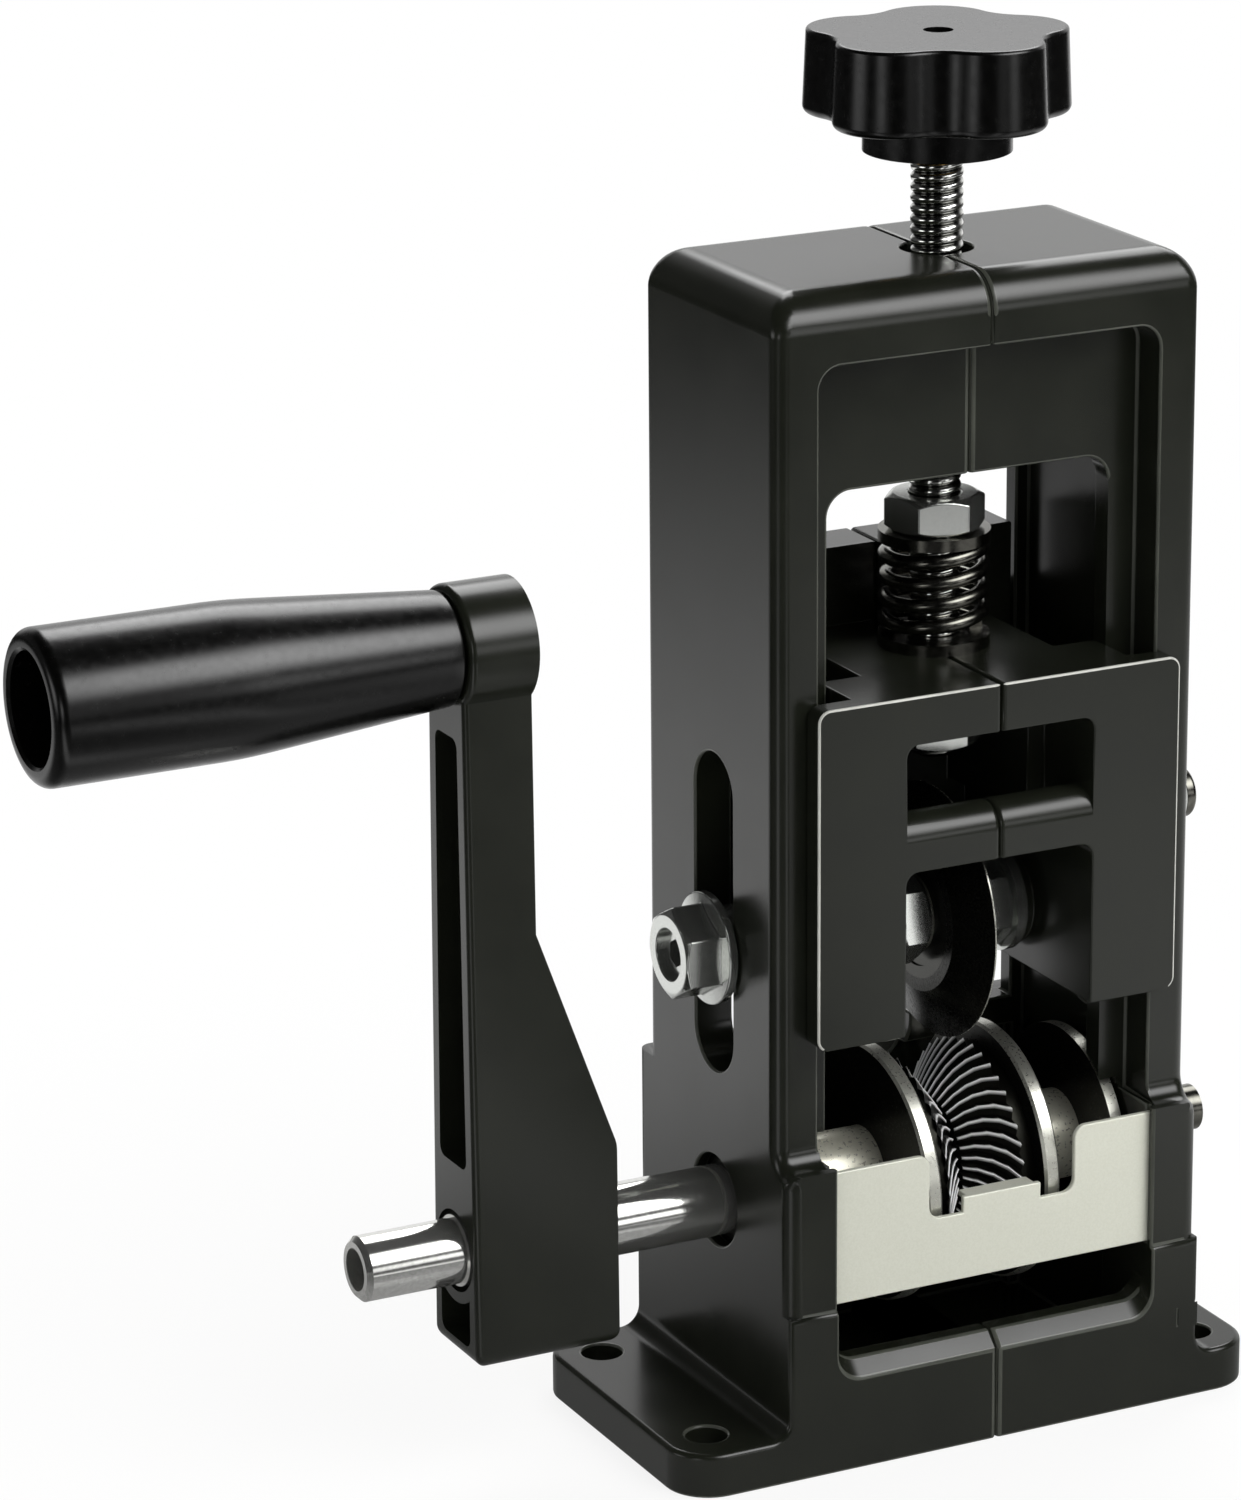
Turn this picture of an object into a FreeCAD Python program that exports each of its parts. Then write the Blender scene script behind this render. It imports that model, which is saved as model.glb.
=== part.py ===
import FreeCAD, Part
import math
import os

# Hand crank wire stripper. A cast column in two halves carries a crank-driven knurled roller with a
# V-groove, and above it a disc blade in a carriage that a knob screw raises and lowers.
# Millimetres. X runs along the drive shaft (crank at -X), Y from front to back, Z up from the bench.
# The origin is the centre of the four bench holes, on the underside of the base. The pieces are drawn
# with X from the column's seam, and move over to the origin when they are exported.

Vec = FreeCAD.Vector

# ---- clearances -----------------------------------------------------------------------------------
running_gap = 0.3          # between a moving piece and what it passes
bore_gap = 0.08            # radial, a pin or screw in the hole that guides it
seat_gap = 0.02            # radial, a ring on its own shaft or in its own pocket
over = 1.0                 # how far a cut reaches past the face that it opens
blind_gap = 1.0            # from the tip of a screw to the bottom of its hole

# ---- screws, nuts and bearings --------------------------------------------------------------------
socket_share = 0.55        # width and depth of a hexagon socket, as shares of its screw head
nut_face_share = 0.95      # round face of a nut, as a share of its width across flats
nut_chamfer_deg = 30.0
nut_turn_deg = 42.7        # how far the nuts on the knob screw are turned
blade_nut_turn_deg = 12.0  # how far the nuts on the blade axle are turned
bearing_shield = 0.6
bearing_shield_inset = 0.4

# ---- base and column casting ----------------------------------------------------------------------
base_left = 67.0           # from the seam to the left end of the base
base_right = 59.0
base_depth = 64.7
base_thickness = 8.8
base_corner_r = 9.0
bench_hole_d = 8.0
bench_hole_inset_x = 9.2
bench_hole_inset_y = 10.1
foot_fillet_r = 4.0
foot_edge_r = 1.2
plinth_height = 33.0
plinth_step = 0.8          # how far the front posts stand back above the plinth
column_width = 90.0
column_depth = 53.0
column_height = 228.5
column_front = -26.3
column_side_r = 3.0
column_top_r = 7.5
front_post_height = 61.3
rear_post_height = 67.5
post_ledge_r = 4.0
ledge_share = 0.9          # most of the ledge's depth that its fillet may take
side_wall = 8.0
seam_bevel = 0.6

# ---- openings of the column -----------------------------------------------------------------------
recess_width = 72.0
recess_depth = 8.0
recess_top = 215.0
recess_corner_r = 4.5
window_width = 60.0
window_top = 189.0
window_corner_r = 5.0
flange_thickness = 5.0
rear_window_width = 68.0
rear_flange_thickness = 4.0
throat_width = 69.0
throat_corner_r = 5.0
cross_wall = 7.0
base_floor = 5.0
cross_wall_height = 21.7
cross_wall_bevel = 3.1
wire_exit_width = 18.0
wire_exit_bottom = 57.0
side_slot_width = 15.3
side_slot_bottom = 73.4
side_slot_top = 136.7
head_boss_width = 32.0
head_roof = 16.0

# ---- axes -----------------------------------------------------------------------------------------
mid_y = -1.3               # plane of the drive shaft, the blade axle and the knob screw
work_x = 2.2               # plane of the roller's groove, the blade and the knob screw, from the seam
drive_z = 46.8
blade_z = 98.2

# ---- drive shaft, bearings and roller -------------------------------------------------------------
shaft_d = 13.8
shaft_journal_d = 12.0
shaft_left_end = -120.5
shaft_right_end = 53.0
shaft_end_d = 12.6         # free end beyond the crank
shaft_end_chamfer = 1.0
shaft_socket_d = 8.2
shaft_socket_depth = 16.0
shaft_hole_d = 18.2
bearing_od = 28.0
bearing_width = 8.0
bearing_ring = 2.2
bearing_inset = 34.0       # from the middle of the column to the inner face of each bearing
bearing_boss_d = 38.0
roller_rim_d = 51.2
roller_rim_inner = 11.3
roller_rim_thickness = 3.3
roller_rim_bevel = 0.5
knurl_outer_d = 46.0
knurl_inner_d = 25.6
knurl_face_outer = 8.3
knurl_face_inner = 0.5
knurl_teeth = 40
knurl_tooth_depth = 1.5
knurl_sweep_deg = 14.0
knurl_steps = 4            # facets along each tooth
hub_d = 18.0
guard_disc_d = 44.0
guard_disc_thickness = 2.4
guard_disc_gap = 2.0
end_collar_d = 20.0
end_collar_width = 7.4
end_screw_d = 6.0
end_screw_grip = 14.0
end_screw_head_d = 9.2
end_screw_head_length = 7.5
end_washer_d = 13.0
end_washer_thickness = 1.5

# ---- crank arm and handle -------------------------------------------------------------------------
arm_outer_x = -100.0
arm_top_thickness = 13.7
arm_bottom_thickness = 29.7
arm_bottom_z = 25.6
arm_bottom_width = 19.4
arm_neck_width = 16.0
arm_neck_z = 152.0
arm_boss_r = 11.8
arm_taper_top_z = 110.0
arm_taper_bottom_z = 66.0
arm_corner_r = 3.0
arm_edge_r = 1.2
arm_pocket_depth = 9.0
arm_pocket_top_z = 148.5
arm_pocket_bottom_z = 64.5
arm_pocket_margin = 3.4
arm_pocket_corner_r = 2.0
arm_hub_r = 10.2
arm_recess_d = 16.0        # round the shaft, in the outer face of the hub
arm_recess_depth = 2.0
handle_z = 164.9
handle_length = 80.5
handle_neck_d = 21.4
handle_grip_d = 29.0
handle_neck_length = 2.0
handle_swell = 38.0
handle_end_r = 2.5
handle_bore_d = 21.0
handle_bore_depth = 56.0
handle_bolt_d = 8.0
handle_bolt_head_d = 13.0
handle_bolt_head_length = 6.0
handle_washer_d = 17.0
handle_washer_thickness = 1.6
set_screw_d = 6.0

# ---- blade and its axle ---------------------------------------------------------------------------
blade_d = 50.0
blade_hub_d = 31.0
blade_hub_width = 8.0
blade_edge = 0.3
blade_bevel_d = 46.0       # where the ground edge begins
blade_bevel_width = 1.8
blade_bearing_d = 26.0
blade_bearing_ring = 2.4
axle_d = 10.0
axle_left_end = -53.0
axle_socket_af = 5.0
axle_socket_depth = 6.0
axle_head_d = 16.0
axle_head_length = 4.8
axle_washer_d = 21.8
axle_washer_thickness = 2.0
flange_nut_af = 16.0
flange_nut_rim = 1.8
flange_nut_slope = 0.6
flange_nut_length = 9.4
spacer_d = 14.0
left_spacer_length = 0.9
right_spacer_length = 3.3
hex_nut_af = 17.0
hex_nut_length = 6.2
hex_washer_thickness = 2.0
hex_washer_d = 20.5
slot_bushing_d = 15.0

# ---- blade carriage -------------------------------------------------------------------------------
carriage_bottom = 85.3
carriage_top = 151.8
carriage_plate_width = 77.4
carriage_plate_thickness = 4.7
carriage_corner_r = 2.5
carriage_neck_depth = 12.0
carriage_deck = 9.4
carriage_deck_width = 42.0
carriage_cavity_width = 32.0
carriage_window_width = 40.0
carriage_window_bottom = 128.0
carriage_throat_top = 117.5
carriage_cheek_top = 114.0
carriage_cheek_thickness = 7.0
carriage_boss_d = 18.0
carriage_bar_d = 10.0
carriage_rear_top = 167.5
carriage_rear_wall = 10.0
blade_pocket_gap = 1.0
carriage_screw_d = 5.0
carriage_screw_head_d = 8.5
carriage_screw_head_length = 5.0

# ---- knob screw and spring ------------------------------------------------------------------------
screw_d = 10.0
screw_chamfer = 0.8
screw_bottom = 130.0
screw_top = 262.0
screw_hole_d = 13.8
nut_height = 8.0
lift_nut_bottom = 198.0
lower_washer_thickness = 2.0
spring_d = 21.4
spring_wire_d = 2.8
spring_turns = 4
spring_washer_thickness = 2.2
upper_nut_bottom = 174.4
upper_nut_height = 7.0
knob_bottom = 253.1
knob_top = 269.2
knob_d = 51.5              # at the bottom, where the lobes are widest
knob_draft_deg = 2.5
knob_lobes = 5
knob_lobe_r = 11.5
knob_valley_r = 9.0
knob_bottom_edge_r = 1.5
knob_top_edge_r = 0.8
knob_phase_deg = -9.4
knob_hub_d = 28.0
knob_hub_height = 6.2
knob_vent_d = 5.6
knob_insert_d = 15.0

# ---- guide plate, frame and gib screws ------------------------------------------------------------
plate_thickness = 1.2
plate_inset = 2.6
plate_groove = 1.2
plate_bottom = 33.4
plate_top = 60.1
plate_gap_width = 31.8
plate_rest_width = 17.0
plate_rest_z = 50.1
plate_slot_z = 46.9
plate_corner_r = 2.5
plate_tongue = 2.9
plate_tongue_width = 15.0
frame_screw_d = 4.0
frame_screw_head_d = 7.0
frame_screw_head_length = 4.0
frame_screw_grip = 22.0
frame_screw_top_y = 14.0
frame_screw_base_z = 17.2
gib_screw_d = 4.0
gib_screw_z = 119.0
gib_head_d = 10.0
gib_head_length = 2.2
gib_head_edge_r = 0.9
gib_nut_af = 10.0
gib_nut_length = 2.6

# ---- worked out from the sizes above --------------------------------------------------------------
bench_hole_spacing_x = base_left + base_right - 2 * bench_hole_inset_x
seam_x = (base_left - base_right) / 2
bench_hole_spacing_y = base_depth - 2 * bench_hole_inset_y
column_back = column_front + column_depth
column_half = column_width / 2
inner_half = column_half - side_wall
post_front = -base_depth / 2 + plinth_step
post_back = base_depth / 2 - plinth_step
flange_front = column_front + recess_depth
flange_back = flange_front + flange_thickness
rear_flange_front = column_back - rear_flange_thickness
head_pocket_top = column_height - head_roof
bearing_outset = bearing_inset + bearing_width
roller_rim_outer = roller_rim_inner + roller_rim_thickness
carriage_front = column_front - running_gap - carriage_plate_thickness
carriage_back = column_back + running_gap + carriage_plate_thickness
carriage_neck_half = window_width / 2 - running_gap
carriage_wall_front = column_back - carriage_rear_wall
carriage_ceiling = carriage_top - carriage_deck
cheek_inner = carriage_window_width / 2
cheek_outer = cheek_inner + carriage_cheek_thickness
spring_bottom = carriage_top + spring_washer_thickness
spring_seat_z = upper_nut_bottom - spring_washer_thickness
plate_front = -base_depth / 2 + plate_inset
plate_back = plate_front + plate_thickness
gib_y = flange_front + flange_thickness / 2


# ---- shape helpers --------------------------------------------------------------------------------
def box(x0, x1, y0, y1, z0, z1):
    return Part.makeBox(x1 - x0, y1 - y0, z1 - z0, Vec(x0, y0, z0))


def cyl_x(d, x0, x1, y, z):
    return Part.makeCylinder(d / 2, x1 - x0, Vec(x0, y, z), Vec(1, 0, 0))


def cyl_y(d, y0, y1, x, z):
    return Part.makeCylinder(d / 2, y1 - y0, Vec(x, y0, z), Vec(0, 1, 0))


def cyl_z(d, z0, z1, x, y):
    return Part.makeCylinder(d / 2, z1 - z0, Vec(x, y, z0), Vec(0, 0, 1))


def ring_x(outer_d, inner_d, x0, x1, y, z):
    return cyl_x(outer_d, x0, x1, y, z).cut(cyl_x(inner_d, x0 - over, x1 + over, y, z))


def ring_z(outer_d, inner_d, z0, z1, x, y):
    return cyl_z(outer_d, z0, z1, x, y).cut(cyl_z(inner_d, z0 - over, z1 + over, x, y))


def prism(points, direction):
    """A closed outline of 3-D points pushed along a direction."""
    return Part.Face(Part.makePolygon(points + [points[0]])).extrude(direction)


def prism_x(outline_yz, x0, x1):
    return prism([Vec(x0, y, z) for y, z in outline_yz], Vec(x1 - x0, 0, 0))


def prism_y(outline_xz, y0, y1):
    return prism([Vec(x, y0, z) for x, z in outline_xz], Vec(0, y1 - y0, 0))


def hexagon(across_flats, phase_deg=0.0):
    """Corner points of a hexagon about the origin."""
    r = across_flats / math.sqrt(3)
    turns = [math.radians(60 * k + phase_deg) for k in range(6)]
    return [(r * math.cos(a), r * math.sin(a)) for a in turns]


def hex_x(across_flats, x0, x1, y, z, turn_deg=0.0):
    """A hexagonal bar along X, with its corners at top and bottom before it is turned."""
    return prism_x([(y + v, z + u) for u, v in hexagon(across_flats, turn_deg)], x0, x1)


def hex_z(across_flats, z0, z1, x, y):
    corners = [Vec(x + u, y + v, z0) for u, v in hexagon(across_flats, nut_turn_deg)]
    return prism(corners, Vec(0, 0, z1 - z0))


def chamfered_nut(bar, across_flats, start, axis, length):
    """A hexagonal bar with its corners turned off at both ends, as on a nut."""
    face_r = across_flats / 2 * nut_face_share
    widening = length / math.tan(math.radians(nut_chamfer_deg))
    for end, way in ((start, 1), (start + axis * length, -1)):
        bar = bar.common(Part.makeCone(face_r, face_r + widening, length, end, axis * way))
    return bar


def nut_x(across_flats, bore_d, x0, x1, y, z, turn_deg=0.0):
    bar = hex_x(across_flats, x0, x1, y, z, turn_deg)
    nut = chamfered_nut(bar, across_flats, Vec(x0, y, z), Vec(1, 0, 0), x1 - x0)
    return nut.cut(cyl_x(bore_d, x0 - over, x1 + over, y, z))


def nut_z(across_flats, bore_d, z0, z1, x, y):
    bar = hex_z(across_flats, z0, z1, x, y)
    nut = chamfered_nut(bar, across_flats, Vec(x, y, z0), Vec(0, 0, 1), z1 - z0)
    return nut.cut(cyl_z(bore_d, z0 - over, z1 + over, x, y))


def revolve_x(outline, y, z):
    """A closed outline of (x, radius) points turned about the line (y, z) along X."""
    face = Part.Face(Part.makePolygon([Vec(x, y, z + r) for x, r in outline + outline[:1]]))
    return face.revolve(Vec(0, y, z), Vec(1, 0, 0), 360)


def s_curve(start, end):
    """Two equal arcs, in a plane of constant Y, that join two level lines smoothly."""
    run = (end.x - start.x) / 2
    rise = (end.z - start.z) / 2
    r = (run ** 2 + rise ** 2) / (2 * rise)
    turn = math.asin(abs(run) / r) / 2
    step = Vec(math.copysign(r * math.sin(turn), run), 0, r * (1 - math.cos(turn)))
    middle = (start + end) * 0.5
    return [
        Part.Arc(start, start + step, middle).toShape(),
        Part.Arc(middle, end - step, end).toShape(),
    ]


def near(a, b):
    return abs(a - b) < 0.01


def straight_edges(shape, axis, test):
    """Straight edges along an axis ('x', 'y' or 'z') whose middle point passes a test."""
    found = []
    for edge in shape.Edges:
        if not isinstance(edge.Curve, Part.Line):
            continue
        a = edge.Vertexes[0].Point
        b = edge.Vertexes[-1].Point
        moved = [abs(b.x - a.x), abs(b.y - a.y), abs(b.z - a.z)]
        if moved["xyz".index(axis)] < 0.99 * (b - a).Length:
            continue
        if test((a + b) * 0.5):
            found.append(edge)
    return found


def rounded(shape, radius, axis, test):
    return shape.makeFillet(radius, straight_edges(shape, axis, test))


def mirror_x(shape):
    return shape.mirror(Vec(0, 0, 0), Vec(1, 0, 0))


def both_sides(shape):
    return [shape, mirror_x(shape)]


def fuse_all(shapes):
    return shapes[0].multiFuse(shapes[1:]).removeSplitter()


def slot_x(width, z0, z1, x0, x1, y):
    """A slot with round ends that runs up Z and cuts along X."""
    r = width / 2
    middle = box(x0, x1, y - r, y + r, z0 + r, z1 - r)
    return fuse_all([middle, cyl_x(width, x0, x1, y, z0 + r), cyl_x(width, x0, x1, y, z1 - r)])


def half_of(shape, side):
    """The part of a shape on one side of the middle plane, -1 for left and 1 for right."""
    reach = base_left + base_right
    x0, x1 = (-reach, 0) if side < 0 else (0, reach)
    half = shape.common(box(x0, x1, -reach, reach, -over, column_height + over))
    return half.removeSplitter()


def bevel_seam(half, front_y, back_y, top_z):
    """A small bevel on the parting face's outer edges, so that the halves meet in a V line."""
    edges = []
    for edge in half.Edges:
        b = edge.BoundBox
        if not (near(b.XMin, 0) and near(b.XMax, 0)) or edge.isClosed() or near(b.ZMax, 0):
            continue
        if b.YMax < front_y + 0.01 or b.YMin > back_y - 0.01 or b.ZMin > top_z - 0.01:
            edges.append(edge)
    return half.makeChamfer(seam_bevel, edges)


# ---- column casting -------------------------------------------------------------------------------
def foot_rim_edges(foot):
    """Upper rim of the flange and, in one line with it, the corners of the plinth."""
    rim = []
    for edge in foot.Edges:
        b = edge.BoundBox
        flange_top = near(b.ZMin, base_thickness) and near(b.ZMax, base_thickness)
        on_face = near(b.YMin, b.YMax) and near(abs(b.YMin), base_depth / 2)
        outside = min(abs(b.XMin), abs(b.XMax)) > column_half - 0.01
        crease = near(b.YMax - b.YMin, base_depth)
        at_end = near(b.XMin, -base_left) or near(b.XMax, base_right)
        if flange_top and (at_end or not crease):
            rim.append(edge)
        elif on_face and outside and b.ZMin > base_thickness - 0.01 and b.ZMax > base_thickness + 1:
            rim.append(edge)
    return rim


def casting_body():
    """Outside of base, plinth, posts and column as one block."""
    flange = box(-base_left, base_right, -base_depth / 2, base_depth / 2, 0, base_thickness)
    flange = rounded(flange, base_corner_r, "z", lambda p: True)
    plinth = box(-column_half, column_half, -base_depth / 2, base_depth / 2, 0, plinth_height)
    foot = fuse_all([flange, plinth])
    crease = lambda p: near(abs(p.x), column_half) and near(p.z, base_thickness)
    foot = rounded(foot, foot_fillet_r, "y", crease)
    foot = foot.makeFillet(foot_edge_r, foot_rim_edges(foot))
    outline = [
        (post_front, 0),
        (post_back, 0),
        (post_back, rear_post_height),
        (column_back, rear_post_height),
        (column_back, column_height),
        (column_front, column_height),
        (column_front, front_post_height),
        (post_front, front_post_height),
    ]
    column = prism_x(outline, -column_half, column_half)
    ledge = lambda p: near(p.y, column_front) and near(p.z, front_post_height)
    ledge_r = min(post_ledge_r, ledge_share * (column_front - post_front))
    column = rounded(column, ledge_r, "x", ledge)
    upright = lambda p: near(abs(p.x), column_half)
    ledges = [column_front - post_front, post_back - column_back]
    side_r = min(column_side_r, ledge_share * min(ledges))
    column = rounded(column, side_r, "z", upright)
    top_edges = [e for e in column.Edges if near(e.BoundBox.ZMin, column_height)]
    column = column.makeFillet(column_top_r, top_edges)
    return fuse_all([foot, column])


def column_openings():
    """Everything that is cut through or into the casting in the middle, both halves at once."""
    through = base_depth
    recess = box(-recess_width / 2, recess_width / 2, column_front - through, flange_front,
                 front_post_height, recess_top)
    recess = rounded(recess, recess_corner_r, "y", lambda p: near(p.z, recess_top))
    window = box(-window_width / 2, window_width / 2, -through, flange_back + over,
                 front_post_height, window_top)
    window = rounded(window, window_corner_r, "y", lambda p: near(p.z, window_top))
    chamber = box(-inner_half, inner_half, flange_back, rear_flange_front, base_floor, window_top)
    rear_window = box(-rear_window_width / 2, rear_window_width / 2, rear_flange_front - over, through,
                      rear_post_height, window_top)
    rear_window = rounded(rear_window, window_corner_r, "y", lambda p: near(p.z, window_top))
    half_throat = throat_width / 2
    throat = box(-half_throat, half_throat, -through, flange_back + over,
                 cross_wall_height, front_post_height + over)
    throat = rounded(throat, throat_corner_r, "y", lambda p: near(p.z, cross_wall_height))
    front_inner = -base_depth / 2 + cross_wall
    rear_inner = base_depth / 2 - cross_wall
    well = box(-half_throat, half_throat, front_inner, rear_inner, base_floor, front_post_height)
    mouth = [f for f in throat.Faces if near(f.BoundBox.YMax, -through)][0]
    slant = cross_wall_bevel + over
    mouth.translate(Vec(0, through - base_depth / 2 - over, -slant))
    bevel = mouth.extrude(Vec(0, slant, slant))
    exit_r = wire_exit_width / 2
    exit_z = wire_exit_bottom + exit_r
    exit_front = rear_flange_front - over
    wire_exit = fuse_all([
        box(work_x - exit_r, work_x + exit_r, exit_front, through, exit_z, rear_post_height + over),
        cyl_y(wire_exit_width, exit_front, through, work_x, exit_z),
    ])
    head_pocket = box(head_boss_width / 2, inner_half, flange_back, rear_flange_front,
                      window_top - over, head_pocket_top)
    side_slot = slot_x(side_slot_width, side_slot_bottom, side_slot_top,
                       inner_half - over, column_half + over, mid_y)
    guard = cyl_x(guard_disc_d + 2 * guard_disc_gap, window_width / 2 - over, bearing_inset, mid_y, drive_z)
    cuts = [recess, window, chamber, rear_window, throat, well, bevel, wire_exit]
    return cuts + both_sides(guard) + both_sides(head_pocket) + both_sides(side_slot)


def bearing_boss():
    """Round boss inside the right wall that holds a shaft bearing."""
    boss = cyl_x(bearing_boss_d, bearing_inset, inner_half + over, mid_y, drive_z)
    return boss.common(box(0, column_half, flange_back, rear_flange_front, 0, column_height))


def bearing_cuts():
    pocket = cyl_x(bearing_od + 2 * seat_gap, bearing_inset - over, bearing_outset, mid_y, drive_z)
    hole = cyl_x(shaft_hole_d, bearing_inset, column_half + over, mid_y, drive_z)
    return both_sides(pocket) + both_sides(hole)


def head_cuts():
    """Screw hole down the head, with a hexagonal pocket that holds the lift nut."""
    hole = cyl_z(screw_hole_d, window_top - over, column_height + over, work_x, mid_y)
    top = lift_nut_bottom + nut_height
    pocket = hex_z(hex_nut_af + 4 * seat_gap, lift_nut_bottom, top, work_x, mid_y)
    return [hole, pocket]


def plate_groove_cut():
    half = throat_width / 2
    return box(half - over, half + plate_groove, plate_front - seat_gap, plate_back + seat_gap,
               plate_bottom, front_post_height + over)


def bench_holes():
    holes = []
    left = bench_hole_inset_x - base_left
    for x in (left, left + bench_hole_spacing_x):
        for y in (-bench_hole_spacing_y / 2, bench_hole_spacing_y / 2):
            holes.append(cyl_z(bench_hole_d, -over, base_thickness + foot_fillet_r, x, y))
    return holes


def frame_screw_places():
    """(y, z) of the four screws that pull the halves together."""
    head_z = head_pocket_top + frame_screw_head_d / 2
    base_y = (base_depth - cross_wall) / 2
    return [
        (mid_y - frame_screw_top_y, head_z),
        (mid_y + frame_screw_top_y, head_z),
        (-base_y, frame_screw_base_z),
        (base_y, frame_screw_base_z),
    ]


def frame_screw_face():
    """X of the bottom of the pockets that take the screw heads."""
    return column_half - frame_screw_head_length - running_gap


def frame_screw_cuts():
    cuts = []
    for y, z in frame_screw_places():
        cuts.append(cyl_x(frame_screw_d + 2 * seat_gap, -frame_screw_grip, frame_screw_face() + over, y, z))
        head = frame_screw_head_d + 2 * running_gap
        cuts.append(cyl_x(head, frame_screw_face(), column_half + foot_fillet_r, y, z))
    return cuts


def gib_cuts():
    bore_d = gib_screw_d + 2 * seat_gap
    return [cyl_x(bore_d, window_width / 2 - over, column_half + over, gib_y, gib_screw_z)]


def frame_halves():
    whole = casting_body()
    boss = bearing_boss()
    for cut in column_openings() + bearing_cuts():
        whole = whole.cut(cut)
    for cut in bearing_cuts():
        boss = boss.cut(cut)
    whole = fuse_all([whole] + both_sides(boss))
    for cut in head_cuts() + both_sides(plate_groove_cut()) + bench_holes():
        whole = whole.cut(cut)
    for cut in frame_screw_cuts() + gib_cuts():
        whole = whole.cut(cut)
    shoulder_z = column_height - column_top_r
    return [bevel_seam(half_of(whole, side), flange_front, column_back, shoulder_z) for side in (-1, 1)]


def guide_plate():
    """Thin steel sheet between the front posts, cut out round the roller, with a wire rest."""
    half = throat_width / 2 + plate_groove - seat_gap
    sheet = box(-half, half, plate_front, plate_back, plate_bottom, plate_top)
    left = work_x - plate_gap_width / 2
    right = work_x + plate_gap_width / 2
    gap = box(left, right, plate_front - over, plate_back + over, plate_rest_z, plate_top + over)
    slots = box(left, right, plate_front - over, plate_back + over, plate_slot_z, plate_rest_z + over)
    slots = rounded(slots, plate_corner_r, "y", lambda p: near(p.z, plate_slot_z))
    half_rest = plate_rest_width / 2
    rest = box(work_x - half_rest, work_x + half_rest, plate_front - 2 * over, plate_back + 2 * over,
               plate_slot_z - over, plate_rest_z)
    sheet = sheet.cut(gap).cut(slots.cut(rest))
    corner = lambda p: (near(p.x, left) or near(p.x, right)) and near(p.z, plate_top)
    sheet = rounded(sheet, plate_corner_r, "y", corner)
    half_tongue = plate_tongue_width / 2
    tongue = box(work_x - half_tongue, work_x + half_tongue, plate_back, plate_back + plate_tongue,
                 plate_rest_z - plate_thickness, plate_rest_z)
    return fuse_all([sheet, tongue])


def cap_screw(d, head_d, head_length, head_x, tip_x, y, z):
    """A socket screw along X whose head begins at head_x on the side away from the tip."""
    way = 1 if head_x > tip_x else -1
    outer = head_x + way * head_length
    head = cyl_x(head_d, min(head_x, outer), max(head_x, outer), y, z)
    shank = cyl_x(d, min(head_x, tip_x), max(head_x, tip_x), y, z)
    inner = outer - way * head_length * socket_share
    socket = hex_x(head_d * socket_share, min(outer, inner), max(outer, inner), y, z)
    return fuse_all([head, shank]).cut(socket)


def frame_screws():
    return Part.makeCompound([
        cap_screw(frame_screw_d, frame_screw_head_d, frame_screw_head_length,
                  frame_screw_face(), blind_gap - frame_screw_grip, y, z)
        for y, z in frame_screw_places()
    ])


def gib_screw():
    head_x = column_half + gib_nut_length
    screw = cap_screw(gib_screw_d, gib_head_d, gib_head_length, head_x,
                      carriage_neck_half + running_gap / 2, gib_y, gib_screw_z)
    rim = [e for e in screw.Edges if near(e.BoundBox.XMin, head_x + gib_head_length)
           and near(e.BoundBox.ZLength, gib_head_d)]
    return screw.makeFillet(gib_head_edge_r, rim)


def gib_lock_nut():
    return nut_x(gib_nut_af, gib_screw_d + 2 * seat_gap, column_half, column_half + gib_nut_length,
                 gib_y, gib_screw_z)


def lift_nut():
    """Hexagonal nut held in the head, in which the knob screw climbs."""
    top = lift_nut_bottom + nut_height
    return nut_z(hex_nut_af, screw_d + 2 * bore_gap, lift_nut_bottom, top, work_x, mid_y)


# ---- drive ----------------------------------------------------------------------------------------
def bearing_outer_ring(outer_d, ring, inner_ring_d, x0, x1, z):
    """Outer ring of a ball bearing with its two thin shields."""
    race_d = outer_d - 2 * ring
    body = ring_x(outer_d, race_d, x0, x1, mid_y, z)
    hole_d = inner_ring_d + 2 * running_gap
    shields = []
    for start in (x0 + bearing_shield_inset, x1 - bearing_shield_inset - bearing_shield):
        shields.append(ring_x(race_d, hole_d, start, start + bearing_shield, mid_y, z))
    return fuse_all([body] + shields)


def journal_inner_ring_d():
    return shaft_journal_d + 2 * bearing_ring


def shaft_bearing_outer():
    return bearing_outer_ring(bearing_od, bearing_ring, journal_inner_ring_d(),
                              bearing_inset, bearing_outset, drive_z)


def shaft_bearing_inner():
    return ring_x(journal_inner_ring_d(), shaft_journal_d + 2 * seat_gap,
                  bearing_inset, bearing_outset, mid_y, drive_z)


def drive_shaft():
    """Stepped shaft: a free end for a drill chuck, thick in the crank, journal size between the walls."""
    end = cyl_x(shaft_end_d, shaft_left_end, arm_outer_x, mid_y, drive_z)
    end_edges = [e for e in end.Edges if near(e.BoundBox.XMax, shaft_left_end)]
    end = end.makeChamfer(shaft_end_chamfer, end_edges)
    thick = cyl_x(shaft_d, arm_outer_x, -bearing_outset, mid_y, drive_z)
    journal = cyl_x(shaft_journal_d, -bearing_outset, shaft_right_end, mid_y, drive_z)
    shaft = fuse_all([end, thick, journal])
    socket = cyl_x(shaft_socket_d, shaft_left_end - over, shaft_left_end + shaft_socket_depth,
                   mid_y, drive_z)
    tapped = cyl_x(end_screw_d + 2 * seat_gap, shaft_right_end - end_screw_hole(), shaft_right_end + over,
                   mid_y, drive_z)
    return shaft.cut(socket).cut(tapped)


def end_screw_hole():
    """How deep the hole for the end screw is."""
    return end_screw_grip + blind_gap


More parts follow.
